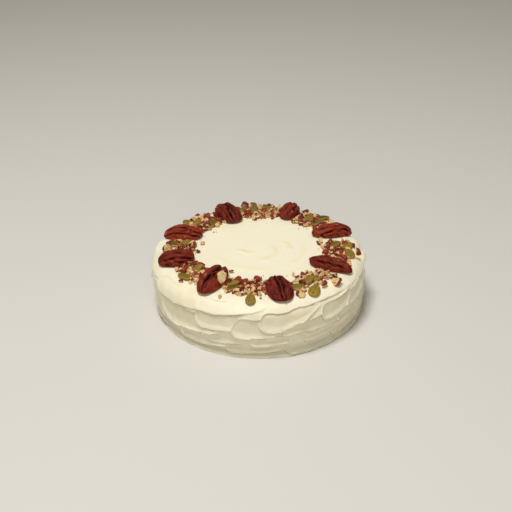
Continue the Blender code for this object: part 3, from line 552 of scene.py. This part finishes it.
def pecan_points(along, around, shape, furrows, seed):
    """Points of a pecan half, flat side down, and how deep each lies in a furrow or fold. along
    runs -1 to 1 from the inner end to the outer, and around from 0 at the left over the crown."""
    length, width, thick, taper, bow, inner_notch, outer_notch, inner_keep, outer_keep, blunt = shape
    draw = random.Random(seed)
    wave, pitch = draw.uniform(0, 6), draw.uniform(8, 11)
    side, crown = np.cos(around), np.sin(around)
    turn = 1 - np.where(around > 1.5 * math.pi, around - math.tau, around) / (math.pi / 2)
    girth = np.clip(1 - along * along, 0, 1) ** blunt
    ovate = 1 - taper * along
    keep = np.where(along < 0, inner_keep, outer_keep)
    fade = keep + (1 - keep) * smooth((1 - np.abs(along)) / 0.4)
    aside = turn * girth ** 0.6
    furrow = np.zeros_like(along)
    for place, shift, wide, deep in furrows:
        off = aside - place - shift * np.minimum(along, 0) + 0.02 * np.sin(5 * along + wave)
        uneven = 0.8 + 0.2 * np.sin(8 * along + wave + 9 * place)
        furrow += deep * uneven * fade * np.exp(-(off / wide) ** 2)
    folds = np.sin(pitch * along + wave + 2.5 * turn + np.sin(6 * turn + wave))
    crease = np.zeros_like(along)
    for _ in range(CREASES):
        ripple = (draw.uniform(-8, 8) * along + draw.uniform(4, 12) * turn
                  + 0.9 * np.sin(draw.uniform(3, 8) * along + draw.uniform(-5, 5) * turn))
        crease += np.abs(np.sin(ripple + draw.uniform(0, math.tau)))
    crease = CREASE_LEVEL - crease / CREASES
    carved = furrow + FOLD_DEPTH * folds + CREASE_DEPTH * crease
    notch = np.where(along < 0, inner_notch, outer_notch) * smooth((np.abs(along) - 0.4) / 0.6)
    parting = furrows[0][0] - furrows[0][1] * (along < 0)
    reach = length / 2 * along * (1 - notch * np.exp(-((turn - parting) / NOTCH_WIDTH) ** 2))
    across = width / 2 * girth * ovate * side * (1 - carved * smooth(crown / 0.4))
    across += bow * width * (1 - along * along)
    sole = SOLE * thick * girth
    height = thick * girth * ovate ** 0.5 * np.clip(crown, 0, 1) ** 0.75 * (1 - carved)
    height = np.where(crown < 0, sole * (1 + crown), np.maximum(height, sole))
    height += TIP_RISE * thick * along ** 4
    # How deep a point lies in the furrows, creases and folds; the skin's finish darkens it by this
    # as painted shade.
    hollow = np.clip(2.2 * furrow + 1.6 * crease + 2.0 * FOLD_DEPTH * folds, 0, 1)
    return np.stack([reach, across, height], 1), hollow


# The sixth has a chip off its left edge: how its broken face leans, how far in millimetres that
# lies from the middle of the sole, and the stretch it runs over, as shares of half the length.
CHIPPED = 6
CHIP_LEAN = math.radians(32)
CHIP_AT = 8.2
CHIP_MIDDLE = -0.15
CHIP_REACH = 0.56


def chip_off(points, along):
    """The chipped half, and how far each of its points was cut back."""
    normal = np.array((0, math.cos(CHIP_LEAN), math.sin(CHIP_LEAN)))
    beyond = points @ normal - CHIP_AT - 3 * ((along - CHIP_MIDDLE) / CHIP_REACH) ** 4
    beyond = np.clip(beyond + 0.25 * np.sin(9 * along), 0, None)
    return points - beyond[:, None] * normal, beyond


def top_height(radius):
    """How high the smooth icing stands at a radius, out to the side."""
    reach = np.clip((radius - TOP_RADIUS) / SHOULDER_REACH, 0, 0.98)
    return SHOULDER_HEIGHT + SHOULDER_RISE * np.sqrt(1 - reach * reach)


def on_icing(radius, angle):
    """The point and the outward normal of the smooth icing at a radius and angle on top."""
    reach = min(max(radius - TOP_RADIUS, 0) / SHOULDER_REACH, 0.98)
    lean = reach / SHOULDER_REACH
    up = math.sqrt(1 - reach * reach) / SHOULDER_RISE
    turned = Vector((math.cos(math.radians(angle)), math.sin(math.radians(angle)), 0))
    normal = turned * lean + Vector((0, 0, up))
    return turned * radius + Vector((0, 0, float(top_height(radius)))), normal.normalized()


# How much redder than the plain skin each half is.
RUDDY = (0.0, 0.3, 0.9, 0.2, 0.0, 0.5, 0.1, 0.9)
PECAN_SKIN = tone(116, 34, 19)
PECAN_RUBBED = tone(172, 66, 34)
PECAN_SHADE = tone(80, 22, 13)
PECAN_FURROW_SHADE = tone(28, 7, 5)
PECAN_FLECK = tone(186, 118, 80)
PECAN_FLESH = tone(240, 218, 160)
PECAN_TAN = tone(220, 178, 120)
pecan_finish, tree, shader, where = begin_finish("pecan_skin", 0.55, Specular_IOR_Level=0.16)
hollow, ruddy, chipped = kept(tree, "hollow"), kept(tree, "ruddy"), kept(tree, "chipped")
mottle = speckle(where, 420.0, 4.0)
grain = speckle(where, 150.0, 2.0)
fleck = speckle(where, 260.0, 1.0)
skin = mixed(between(mottle, 0.5, 0.72) * 0.5 + ruddy * 0.35, PECAN_SKIN, PECAN_RUBBED)
skin = mixed(between(grain, 0.42, 0.66) * (0.8 - ruddy * 0.5), skin, PECAN_SHADE)
skin = mixed(between(fleck, 0.70, 0.76) * 0.6, skin, PECAN_FLECK)
# Painted shade: the skin darkens to nearly black by how deep it lies in a furrow, crease or fold.
skin = mixed(between(hollow, 0.10, 0.75), skin, PECAN_FURROW_SHADE)
bared = between(chipped, 0.06, 0.2) * between(grain, 0.60, 0.54)
flesh = mixed(between(mottle, 0.50, 0.62) * 0.7, PECAN_FLESH, PECAN_TAN)
feed(shader, "Base Color", mixed(bared, skin, flesh))
feed(shader, "Roughness", 0.44 + mottle * 0.2 + hollow * 0.2)
feed_bump(shader, mottle, 0.0006)

for number, (sizes, ends, furrows) in enumerate(zip(PECANS, ENDS, FURROWS), start=1):
    angle, radius, heading, *shape = sizes + ends
    bpy.ops.object.select_all(action="DESELECT")
    bpy.ops.mesh.primitive_uv_sphere_add(segments=PECAN_SEGMENTS, ring_count=PECAN_RINGS, radius=1)
    pecan = bpy.context.object
    pecan.name = pecan.data.name = f"pecan_{number}"
    ball = points_of(pecan.data)
    around = np.arctan2(ball[:, 1], ball[:, 0]) % math.tau
    points, depth = pecan_points(ball[:, 2], around, shape, furrows, number)
    cut_back = np.zeros(len(points))
    if number == CHIPPED:
        points, cut_back = chip_off(points, ball[:, 2])
    outward = Vector((math.cos(math.radians(angle)), math.sin(math.radians(angle)), 0))
    seated = (Matrix.Translation(outward * radius * MM + Vector((0, 0, CAKE_HEIGHT)))
              @ Matrix.Rotation(math.radians(heading), 4, "Z"))
    points = points * MM @ np.array(seated.to_3x3()).T + np.array(seated.translation)
    fall = CAKE_HEIGHT - top_height(np.hypot(points[:, 0], points[:, 1]))
    points[:, 2] -= PECAN_SAG * np.tanh(fall / PECAN_SAG)
    low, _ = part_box(f"pecan_half_{number}")
    points[:, 2] += low[2] - points[:, 2].min()
    set_points(pecan.data, points)
    write_attribute(pecan.data, "hollow", depth)
    write_attribute(pecan.data, "chipped", cut_back)
    write_attribute(pecan.data, "ruddy", np.full(len(points), RUDDY[number - 1]))
    pecan.data.shade_smooth()
    pecan.data.materials.append(pecan_finish)
    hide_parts(f"pecan_half_{number}")
    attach(pecan, "root")

# ---- The pumpkin seeds ------------------------------------------------------------------------
# Hulled pumpkin seeds strewn among the nuts: flat ovals with a point at one end and a thin raised
# rim, olive to dark green, with a papery sheen.

# Radius and angle of each, its heading, its tilt, length and width.
SEEDS = (
    (60.6, 296.2, 0, 6, 10.0, 6.8),
    (58.2, 306.4, 40, 20, 9.0, 6.0),
    (58.6, 311.4, 330, 10, 9.5, 6.0),
    (69.0, 303.2, 68, 2, 12.0, 8.2),
    (68.6, 265.2, 85, 3, 9.5, 7.0),
    (53.0, 250.8, 350, 18, 9.0, 6.0),
    (57.8, 252.2, 10, 10, 9.0, 6.0),
    (65.1, 217.3, 315, 4, 12.5, 6.2),
    (52.4, 215.0, 30, 25, 8.5, 6.0),
    (69.0, 143.0, 125, 10, 9.5, 7.0),
    (62.0, 140.6, 70, 14, 8.5, 6.0),
    (53.2, 132.3, 62, 10, 10.5, 6.8),
    (63.4, 100.8, 60, 10, 9.0, 6.2),
    (61.9, 92.8, 80, 28, 9.5, 6.0),
    (65.7, 82.8, 176, 8, 11.0, 6.4),
    (58.0, 46.6, 70, 25, 11.0, 6.8),
    (68.3, 43.0, 355, 12, 12.0, 7.4),
    (60.5, 40.5, 10, 10, 11.0, 7.0),
    (56.9, 3.2, 10, 20, 9.0, 6.2),
    (65.9, 1.6, 50, 8, 10.0, 7.4),
    (66.7, 352.0, 100, 6, 12.0, 8.0),
    (62.6, 174.6, 95, 8, 9.5, 6.0),
    (55.4, 172.5, 20, 25, 8.0, 5.6),
)
SEED_THICKNESS = 2.5
SEED_SUNK = 0.5
SEED_SEGMENTS = 28
SEED_RINGS = 18
TONE_SEED = 5


def lying(radius, angle, heading, tilt, lift):
    """The place of a topping on the icing: turned to its heading, tilted up at its far end."""
    point, normal = on_icing(radius * MM, angle)
    upright = Vector((0, 0, 1)).rotation_difference(normal).to_matrix().to_4x4()
    turned = Matrix.Rotation(math.radians(heading), 4, "Z")
    raised = Matrix.Rotation(math.radians(-tilt), 4, "Y")
    return Matrix.Translation(point + normal * lift * MM) @ upright @ turned @ raised


def joined(name, meshes):
    """One piece from many meshes, each given as its points, its faces and its attributes."""
    mesh = bpy.data.meshes.new(name)
    starts = np.cumsum([0] + [len(p) for p, _, _ in meshes[:-1]])
    points = np.concatenate([p for p, _, _ in meshes])
    faces = [tuple(int(i + start) for i in face)
             for (_, fs, _), start in zip(meshes, starts) for face in fs]
    mesh.from_pydata(points.tolist(), [], faces)
    for attribute in meshes[0][2]:
        values = np.concatenate([a[attribute] for _, _, a in meshes])
        write_attribute(mesh, attribute, values, "FACE" if len(values) == len(faces) else "POINT")
    piece = bpy.data.objects.new(name, mesh)
    bpy.context.scene.collection.objects.link(piece)
    return piece


def taken():
    """Points and faces of the ball just added, which is removed."""
    ball = bpy.context.object
    made = points_of(ball.data), [tuple(face.vertices) for face in ball.data.polygons]
    bpy.data.objects.remove(ball)
    return made


bpy.ops.object.select_all(action="DESELECT")
bpy.ops.mesh.primitive_uv_sphere_add(segments=SEED_SEGMENTS, ring_count=SEED_RINGS, radius=1)
ball_points, ball_faces = taken()
x, y, z = ball_points.T
taper = 1 - 0.22 * z - 0.10 * smooth((z - 0.6) / 0.4)
rim = np.hypot(z, x)
plump = 1 + 0.14 * smooth((rim - 0.72) / 0.12)
thick = np.sign(y) * np.abs(y) ** 0.7 * plump
# Each seed has its own shade and its own lines along it.
seed_draw = random.Random(TONE_SEED)
seed_meshes = []
for radius, angle, heading, tilt, length, width in SEEDS:
    shape = np.stack([length / 2 * z, width / 2 * x * taper, SEED_THICKNESS / 2 * thick], 1) * MM
    lift = length / 2 * math.sin(math.radians(tilt)) + SEED_THICKNESS / 2 - SEED_SUNK
    place = lying(radius, angle, heading, tilt, lift)
    shape = shape @ np.array(place.to_3x3()).T + np.array(place.translation)
    shade = np.full(len(shape), seed_draw.random())
    line = x + 9 * shade
    seed_meshes.append((shape, ball_faces, {"shade": shade, "rim": rim, "line": line}))
seeds = joined("pumpkin_seeds", seed_meshes)
seeds.data.shade_smooth()
SEED_GREEN = tone(120, 104, 28)
SEED_PALE = tone(156, 130, 40)
SEED_DARK = tone(82, 68, 18)
SEED_RIM = tone(172, 130, 46)
seed_finish, tree, shader, where = begin_finish("pumpkin_seed_skin", 0.5, Specular_IOR_Level=0.3)
shade, rim = kept(tree, "shade"), kept(tree, "rim")
lines = Level.of(tree, "ShaderNodeTexNoise", {"noise_dimensions": "1D"},
                 {"W": kept(tree, "line"), "Scale": 5.0})
mottle = speckle(where, 380.0, 3.0)
body = mixed(shade, SEED_DARK, SEED_PALE)
body = mixed(between(mottle, 0.4, 0.65) * 0.6, body, SEED_GREEN)
body = mixed(between(lines, 0.5, 0.62) * 0.5, body, SEED_DARK)
feed(shader, "Base Color", mixed(between(rim, 0.80, 0.95) * 0.7, body, SEED_RIM))
feed(shader, "Roughness", 0.42 + mottle * 0.2)
feed_bump(shader, mottle * 0.5 + lines * 0.5, 0.0004)
seeds.data.materials.append(seed_finish)
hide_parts("frosted_cake")
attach(seeds, "root")

# ---- The chopped pecans -----------------------------------------------------------------------
# Pecans chopped with a knife and strewn between the halves: lumps with flat pale broken faces and
# a rounded side that keeps its red-brown skin, down to crumbs that stray over the icing.

# The larger bits: radius, angle, longest way across, heading of that, share of broken faces.
CHUNKS = (
    (54.1, 299.0, 9.0, 10, 0.35), (47.6, 314.4, 3.8, 60, 0.60), (52.3, 315.0, 5.8, 95, 0.95),
    (54.0, 319.5, 5.6, 80, 0.35), (58.2, 319.6, 6.4, 75, 0.80), (63.8, 318.5, 5.2, 20, 0.90),
    (68.1, 311.1, 5.6, 40, 0.40), (70.4, 318.5, 7.2, 10, 0.60), (68.8, 295.0, 6.6, 50, 0.50),
    (61.0, 304.4, 2.6, 0, 0.10), (44.5, 303.3, 3.6, 90, 0.95),
    (59.0, 244.8, 4.6, 62, 0.30), (37.6, 239.3, 3.4, 20, 0.10), (51.0, 255.0, 6.4, 0, 0.15),
    (64.0, 257.2, 7.4, 0, 0.50), (48.3, 264.4, 8.3, 0, 0.95), (57.5, 266.0, 6.0, 0, 0.35),
    (43.1, 271.1, 4.0, 60, 0.20), (55.2, 271.0, 5.8, 10, 0.60), (69.7, 247.9, 3.2, 60, 1.00),
    (66.8, 271.1, 2.2, 0, 1.00),
    (63.5, 203.5, 4.6, 90, 0.50), (57.3, 212.0, 6.4, 95, 0.95), (55.2, 217.5, 4.6, 0, 0.90),
    (58.4, 221.9, 4.4, 0, 1.00), (62.7, 226.1, 4.4, 0, 0.30), (66.1, 224.3, 3.8, 60, 0.80),
    (69.8, 218.9, 3.8, 300, 0.40),
    (67.1, 179.9, 7.8, 40, 0.85), (61.6, 177.5, 6.0, 20, 0.95), (56.8, 174.6, 4.6, 0, 0.50),
    (49.8, 173.7, 8.4, 60, 0.85), (49.0, 181.1, 5.2, 30, 0.05), (44.5, 184.2, 3.4, 0, 0.10),
    (42.2, 168.2, 3.8, 0, 0.00),
    (65.5, 135.5, 8.0, 0, 0.50), (56.5, 140.3, 5.6, 45, 0.90), (53.8, 137.9, 6.2, 0, 0.20),
    (68.7, 125.0, 4.2, 90, 0.10), (69.3, 120.4, 3.6, 90, 0.80), (72.0, 126.0, 3.6, 0, 0.80),
    (51.2, 143.0, 4.0, 0, 0.30),
    (71.5, 98.5, 6.8, 340, 0.00), (72.5, 93.0, 6.4, 0, 0.80), (69.5, 88.6, 5.8, 0, 0.90),
    (62.4, 84.4, 4.8, 0, 1.00), (56.0, 81.3, 6.2, 0, 0.40), (61.3, 76.5, 6.2, 80, 0.80),
    (57.2, 97.0, 5.8, 70, 0.25), (53.7, 94.0, 4.8, 0, 0.50), (57.3, 87.5, 4.6, 0, 0.60),
    (72.0, 60.5, 4.0, 90, 0.30), (68.0, 56.0, 4.0, 90, 0.90), (56.8, 53.0, 7.0, 40, 0.05),
    (69.5, 50.7, 5.4, 90, 0.85), (53.2, 43.5, 7.2, 30, 0.20), (73.0, 43.5, 5.0, 0, 1.00),
    (71.4, 38.5, 4.6, 0, 0.30),
    (49.0, 14.0, 5.6, 80, 0.85), (46.4, 9.6, 4.6, 0, 0.70), (47.6, 2.7, 4.8, 0, 0.95),
    (52.0, 4.9, 4.8, 30, 1.00), (55.2, 9.7, 4.4, 0, 0.10), (51.1, 0.2, 4.2, 0, 0.00),
    (57.5, 356.0, 5.6, 100, 0.10), (54.7, 353.5, 4.4, 90, 0.20), (72.2, 356.5, 6.4, 120, 0.05),
    (73.5, 350.4, 3.6, 90, 0.90), (60.7, 4.5, 4.0, 0, 0.40),
)
# The drifts the rest fall in: middle angle and spread, middle radius and spread, share.
DRIFTS = (
    (44.5, 8.5, 60.5, 5.6, 1.15),
    (89.6, 10.5, 60.5, 5.8, 1.60),
    (138.0, 9.5, 59.5, 5.6, 1.25),
    (178.0, 6.0, 57.5, 5.6, 0.95),
    (214.5, 8.5, 56.5, 4.6, 1.20),
    (258.0, 9.5, 54.5, 4.8, 1.25),
    (309.0, 9.5, 58.0, 4.8, 0.95),
    (356.0, 8.5, 58.5, 6.0, 1.05),
)
# Up to the first of these numbers they are in the solid too, up to the second they are loose
# bits, and the rest are crumbs.
SOLID_BITS = 100
LOOSE_BITS = 440
ALL_BITS = 700
CRUMB_SIZE = 1.8
BIT_TRIES = 14
CRUMB_TRIES = 2
BIT_SEED = 23
# Millimetres between a bit and a half, how far out a bit may lie, the plan radius of a seed, and
# how high the pile may grow.
LEAST_GAP = 0.4
FARTHEST_OUT = 76
SEED_REACH = 3.2
PILE_HEIGHT = 4.5
# Shares of a bit's size: how high its middle lies above what it rests on, its reach in the plan
# and its half height. The middle of a loose bit keeps away from that of a seed or a solid bit, by
# this share of its reach.
BIT_LIFT = 0.24
BIT_REACH = 0.42
BIT_RISE = 0.30
CLEAR_OF_SOLID = 0.8
# Crumbs stray this many times the drifts' spread.
STRAY = 1.35


def on_plan(radius, angle):
    """A place on the top as plan coordinates."""
    return radius * math.cos(math.radians(angle)), radius * math.sin(math.radians(angle))


def pecan_gap(x, y):
    """Distance in millimetres from a plan point to the edge of the nearest pecan half, and the
    way straight off that half's side."""
    best = 1000.0, 0.0, 0.0
    along = np.cos(np.linspace(0, math.pi, 37))
    for (angle, radius, heading, length, width, _, taper, bow, _, _), ends in zip(PECANS, ENDS):
        turn = math.radians(heading)
        middle_x, middle_y = on_plan(radius, angle)
        forward = (x - middle_x) * math.cos(turn) + (y - middle_y) * math.sin(turn)
        sideways = (y - middle_y) * math.cos(turn) - (x - middle_x) * math.sin(turn)
        hand = 1 if sideways > 0 else -1
        across = hand * width / 2 * (1 - along ** 2) ** ends[2] * (1 - taper * along)
        across += bow * width * (1 - along ** 2)
        gap = float(np.hypot(along * length / 2 - forward, across - sideways).min())
        if abs(forward) < length / 2:
            edge = float(np.interp(-forward, -along * length / 2, across))
            gap = gap if (sideways - edge) * hand > 0 else -gap
        if gap < best[0]:
            best = gap, -hand * math.sin(turn), hand * math.cos(turn)
    return best


def bit_reach(size, heading, way_x, way_y):
    """How far a chopped bit reaches from its middle along a way in the plan."""
    turn = math.radians(heading)
    lengthways = way_x * math.cos(turn) + way_y * math.sin(turn)
    return size * math.hypot(0.56 * lengthways, 0.46 * math.sqrt(max(1 - lengthways ** 2, 0)))


def slid_off(x, y, size, heading):
    """Where a chunk comes to rest beside the halves, if it would lie on one."""
    gap, away_x, away_y = pecan_gap(x, y)
    while gap < LEAST_GAP + bit_reach(size, heading, away_x, away_y):
        x, y = x + 0.2 * away_x, y + 0.2 * away_y
        gap, away_x, away_y = pecan_gap(x, y)
    return x, y


def emptiest(draw, tries, need, solid, crumb, lying_there):
    """The emptiest of a few drawn places, or None if the halves or the solid bits take them all."""
    best, most = None, -1000.0
    for _ in range(tries):
        middle, fan, reach, spread, _ = draw.choices(DRIFTS, [drift[4] for drift in DRIFTS])[0]
        out, aside = draw.triangular(-2, 2), draw.triangular(-2, 2)
        if crumb:
            out, aside = draw.gauss(0, STRAY), draw.gauss(0, STRAY)
        x, y = on_plan(reach + spread * out, middle + fan * aside)
        if pecan_gap(x, y)[0] < need or math.hypot(x, y) > FARTHEST_OUT:
            continue
        over = min(math.hypot(x - ox, y - oy) / half for ox, oy, half, _, _ in
                   lying_there[:len(SEEDS) + SOLID_BITS])
        if not solid and over < CLEAR_OF_SOLID:
            continue
        room = min(math.hypot(x - ox, y - oy) - half for ox, oy, half, _, _ in
                   lying_there[:LOOSE_BITS])
        if room > most:
            best, most = (x, y), room
    return best


def pile_under(x, y, lying_there):
    """How high what lies at a place stands above the icing."""
    highest = 0.0
    for other_x, other_y, half, middle, tall in lying_there:
        off = math.hypot(x - other_x, y - other_y) / half
        if off < 1:
            highest = max(highest, middle + tall * math.sqrt(1 - off * off))
    return highest


def nut_bits(count):
    """The first count chopped bits: (radius, angle, size, lift of its middle, heading, share of
    broken faces, number). The chunks slide off the halves; the next ones each take the emptiest
    of a few drawn places, and the rest fall on what lies there."""
    draw = random.Random(BIT_SEED)
    bits, lying_there = [], [(*on_plan(r, a), SEED_REACH, 0, 0) for r, a, *_ in SEEDS]
    for number in range(count):
        solid, crumb = number < SOLID_BITS, number >= LOOSE_BITS
        heading, flesh = draw.uniform(0, 360), draw.choice((0.0, 0.2, 0.5, 0.8, 1.0))
        size = draw.uniform(3.8, 5.2) if solid else 2.6 + 3.4 * draw.random() ** 1.3
        if crumb:
            size = 0.5 + 1.1 * draw.random() ** 2
        need = LEAST_GAP + size * 0.5 if solid else 0.1 * size - 0.3
        if number < len(CHUNKS):
            radius, angle, size, heading, flesh = CHUNKS[number]
            found = slid_off(*on_plan(radius, angle), size, heading)
        else:
            tries = CRUMB_TRIES if crumb else BIT_TRIES
            found = emptiest(draw, tries, need, solid, crumb, lying_there)
        if found is None:
            continue
        x, y = found
        rest = 0.0 if solid else pile_under(x, y, lying_there)
        lift = min(rest, PILE_HEIGHT) + BIT_LIFT * size
        radius, angle = math.hypot(x, y), math.degrees(math.atan2(y, x))
        bits.append((radius, angle, size, lift, heading, flesh, number))
        lying_there.append((x, y, size * BIT_REACH, lift, size * BIT_RISE))
    return bits


BIT_LUMPS = 5


def chopped_bit(ball, flesh, draw):
    """Points of a bit of size 1, and which of them a knife has cut."""
    stretch = np.array([0.53, draw.uniform(0.40, 0.48), draw.uniform(0.36, 0.46)])
    lumps = np.ones(len(ball))
    for _ in range(BIT_LUMPS):
        wave = np.array([draw.gauss(0, 2.6) for _ in range(3)])
        lumps += 0.08 * np.sin(ball @ wave + draw.uniform(0, math.tau))
    knives = []
    for _ in range(round(2 + 3 * flesh)):
        knife = Vector((draw.gauss(0, 1), draw.gauss(0, 1), draw.gauss(0.5, 0.8)))
        if flesh < 0.3:
            knife = Vector((draw.gauss(0, 0.8), draw.gauss(0, 0.8), -0.6))
        knives.append((np.array(knife.normalized()), draw.uniform(0.30, 0.70)))
    rough = np.array([draw.uniform(0.95, 1.05) for _ in ball])
    shape = ball * (lumps * rough)[:, None]
    cut = np.zeros(len(shape), bool)
    for knife, deep in knives:
        beyond = shape @ knife - deep - 0.05 * np.sin(shape @ np.array((7.0, 9.0, 8.0)))
        cut |= beyond > 0
        shape = shape - np.clip(beyond, 0, None)[:, None] * knife
    return shape * stretch, cut


# A bit is a faceted ball, finer for the larger ones, made lumpy and cut flat by a few knives.
BIT_BALLS = ((4.0, 3), (CRUMB_SIZE, 2), (0.0, 1))
FIRST_BIT_SEED = 1000
CUT_CORNERS = 0.6
balls = {}
for _, subdivisions in BIT_BALLS:
    bpy.ops.object.select_all(action="DESELECT")
    bpy.ops.mesh.primitive_ico_sphere_add(subdivisions=subdivisions, radius=1)
    balls[subdivisions] = taken()
bit_meshes = []
for radius, angle, size, lift, heading, flesh, number in nut_bits(ALL_BITS):
    ball_points, ball_faces = balls[next(fine for over, fine in BIT_BALLS if size > over)]
    draw = random.Random(FIRST_BIT_SEED + number)
    tilt = draw.uniform(-12, 22)
    shape, cut = chopped_bit(ball_points, flesh, draw)
    shape = shape * size * MM
    place = lying(radius, angle, heading, tilt, lift)
    shape = shape @ np.array(place.to_3x3()).T + np.array(place.translation)
    broken = np.array([float(np.mean(cut[list(face)]) > CUT_CORNERS) for face in ball_faces])
    if size < CRUMB_SIZE:
        broken[:] = draw.random() < 0.5
    shade = np.full(len(ball_faces), draw.random())
    bit_meshes.append((shape, ball_faces, {"broken": broken, "shade": shade}))
chopped = joined("chopped_pecans", bit_meshes)
NUT_FLESH = tone(232, 204, 152)
NUT_TAN = tone(196, 140, 86)
NUT_SKIN = tone(150, 60, 34)
NUT_DARK_SKIN = tone(80, 26, 16)
nut_finish, tree, shader, where = begin_finish("chopped_pecan", 0.6, Specular_IOR_Level=0.2)
broken, shade = kept(tree, "broken"), kept(tree, "shade")
grain = speckle(where, 500.0, 3.0)
streak = speckle(where, 300.0, 2.0)
flesh = mixed(shade * 0.5 + between(grain, 0.45, 0.7) * 0.5, NUT_FLESH, NUT_TAN)
skin = mixed(shade * 0.7 + between(grain, 0.4, 0.7) * 0.3, NUT_SKIN, NUT_DARK_SKIN)
bared = between(broken * 0.26 + streak, 0.62, 0.68)
feed(shader, "Base Color", mixed(bared, skin, flesh))
feed(shader, "Roughness", 0.45 + broken * 0.2)
feed_bump(shader, grain, 0.0003)
chopped.data.materials.append(nut_finish)
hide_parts("frosted_cake")
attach(chopped, "root")

# ---- The studio -------------------------------------------------------------------------------
# A plain pale floor, a large soft light from above the front left, and a weak one low in front.

FLOOR_GREY = tone(216, 214, 210)
ROOM_LIGHT = tone(254, 247, 226)
ROOM_STRENGTH = 0.26
LIT_POINT = Vector((0, 0, 0.02))

bpy.ops.object.select_all(action="DESELECT")
bpy.ops.mesh.primitive_plane_add(size=6, location=(0, 0, 0))
floor = bpy.context.object
floor.name = "floor"
floor_finish, _, shader, _ = begin_finish("pale_floor", 0.7)
shader.inputs["Base Color"].default_value = FLOOR_GREY
floor.data.materials.append(floor_finish)


def soft_light(name, place, size, power, colour):
    """A square soft light turned to the cake."""
    light = bpy.data.lights.new(name, "AREA")
    light.size, light.energy, light.color = size, power, colour
    lamp = bpy.data.objects.new(name, light)
    lamp.location = place
    lamp.rotation_euler = (LIT_POINT - Vector(place)).to_track_quat("-Z", "Y").to_euler()
    bpy.context.scene.collection.objects.link(lamp)


soft_light("key", (-0.2, -0.28, 1.33), 0.4, 13.7, (1, 0.99, 0.97))
soft_light("fill", (0.1, -1.2, 0.6), 0.7, 2.3, (1, 0.98, 0.93))
world = bpy.data.worlds.new("studio")
world.use_nodes = True
background = world.node_tree.nodes["Background"]
background.inputs["Color"].default_value = ROOM_LIGHT
background.inputs["Strength"].default_value = ROOM_STRENGTH
bpy.context.scene.world = world
bpy.context.scene.view_settings.view_transform = "Standard"

CAMERA_PLACE = (-1.789 * MM, -549.515 * MM, 352.193 * MM)
CAMERA_DIP = math.radians(29.852)
CAMERA_ROLL = math.radians(-0.482)
FOCAL_LENGTH = 60
SENSOR_WIDTH = 36
lens = bpy.data.cameras.new("camera")
lens.lens, lens.sensor_width = FOCAL_LENGTH, SENSOR_WIDTH
camera = bpy.data.objects.new("camera", lens)
bpy.context.scene.collection.objects.link(camera)
camera.matrix_world = (Matrix.Translation(CAMERA_PLACE)
                       @ Matrix.Rotation(math.pi / 2 - CAMERA_DIP, 4, "X")
                       @ Matrix.Rotation(CAMERA_ROLL, 4, "Z"))
bpy.context.scene.camera = camera

bpy.context.view_layer.update()
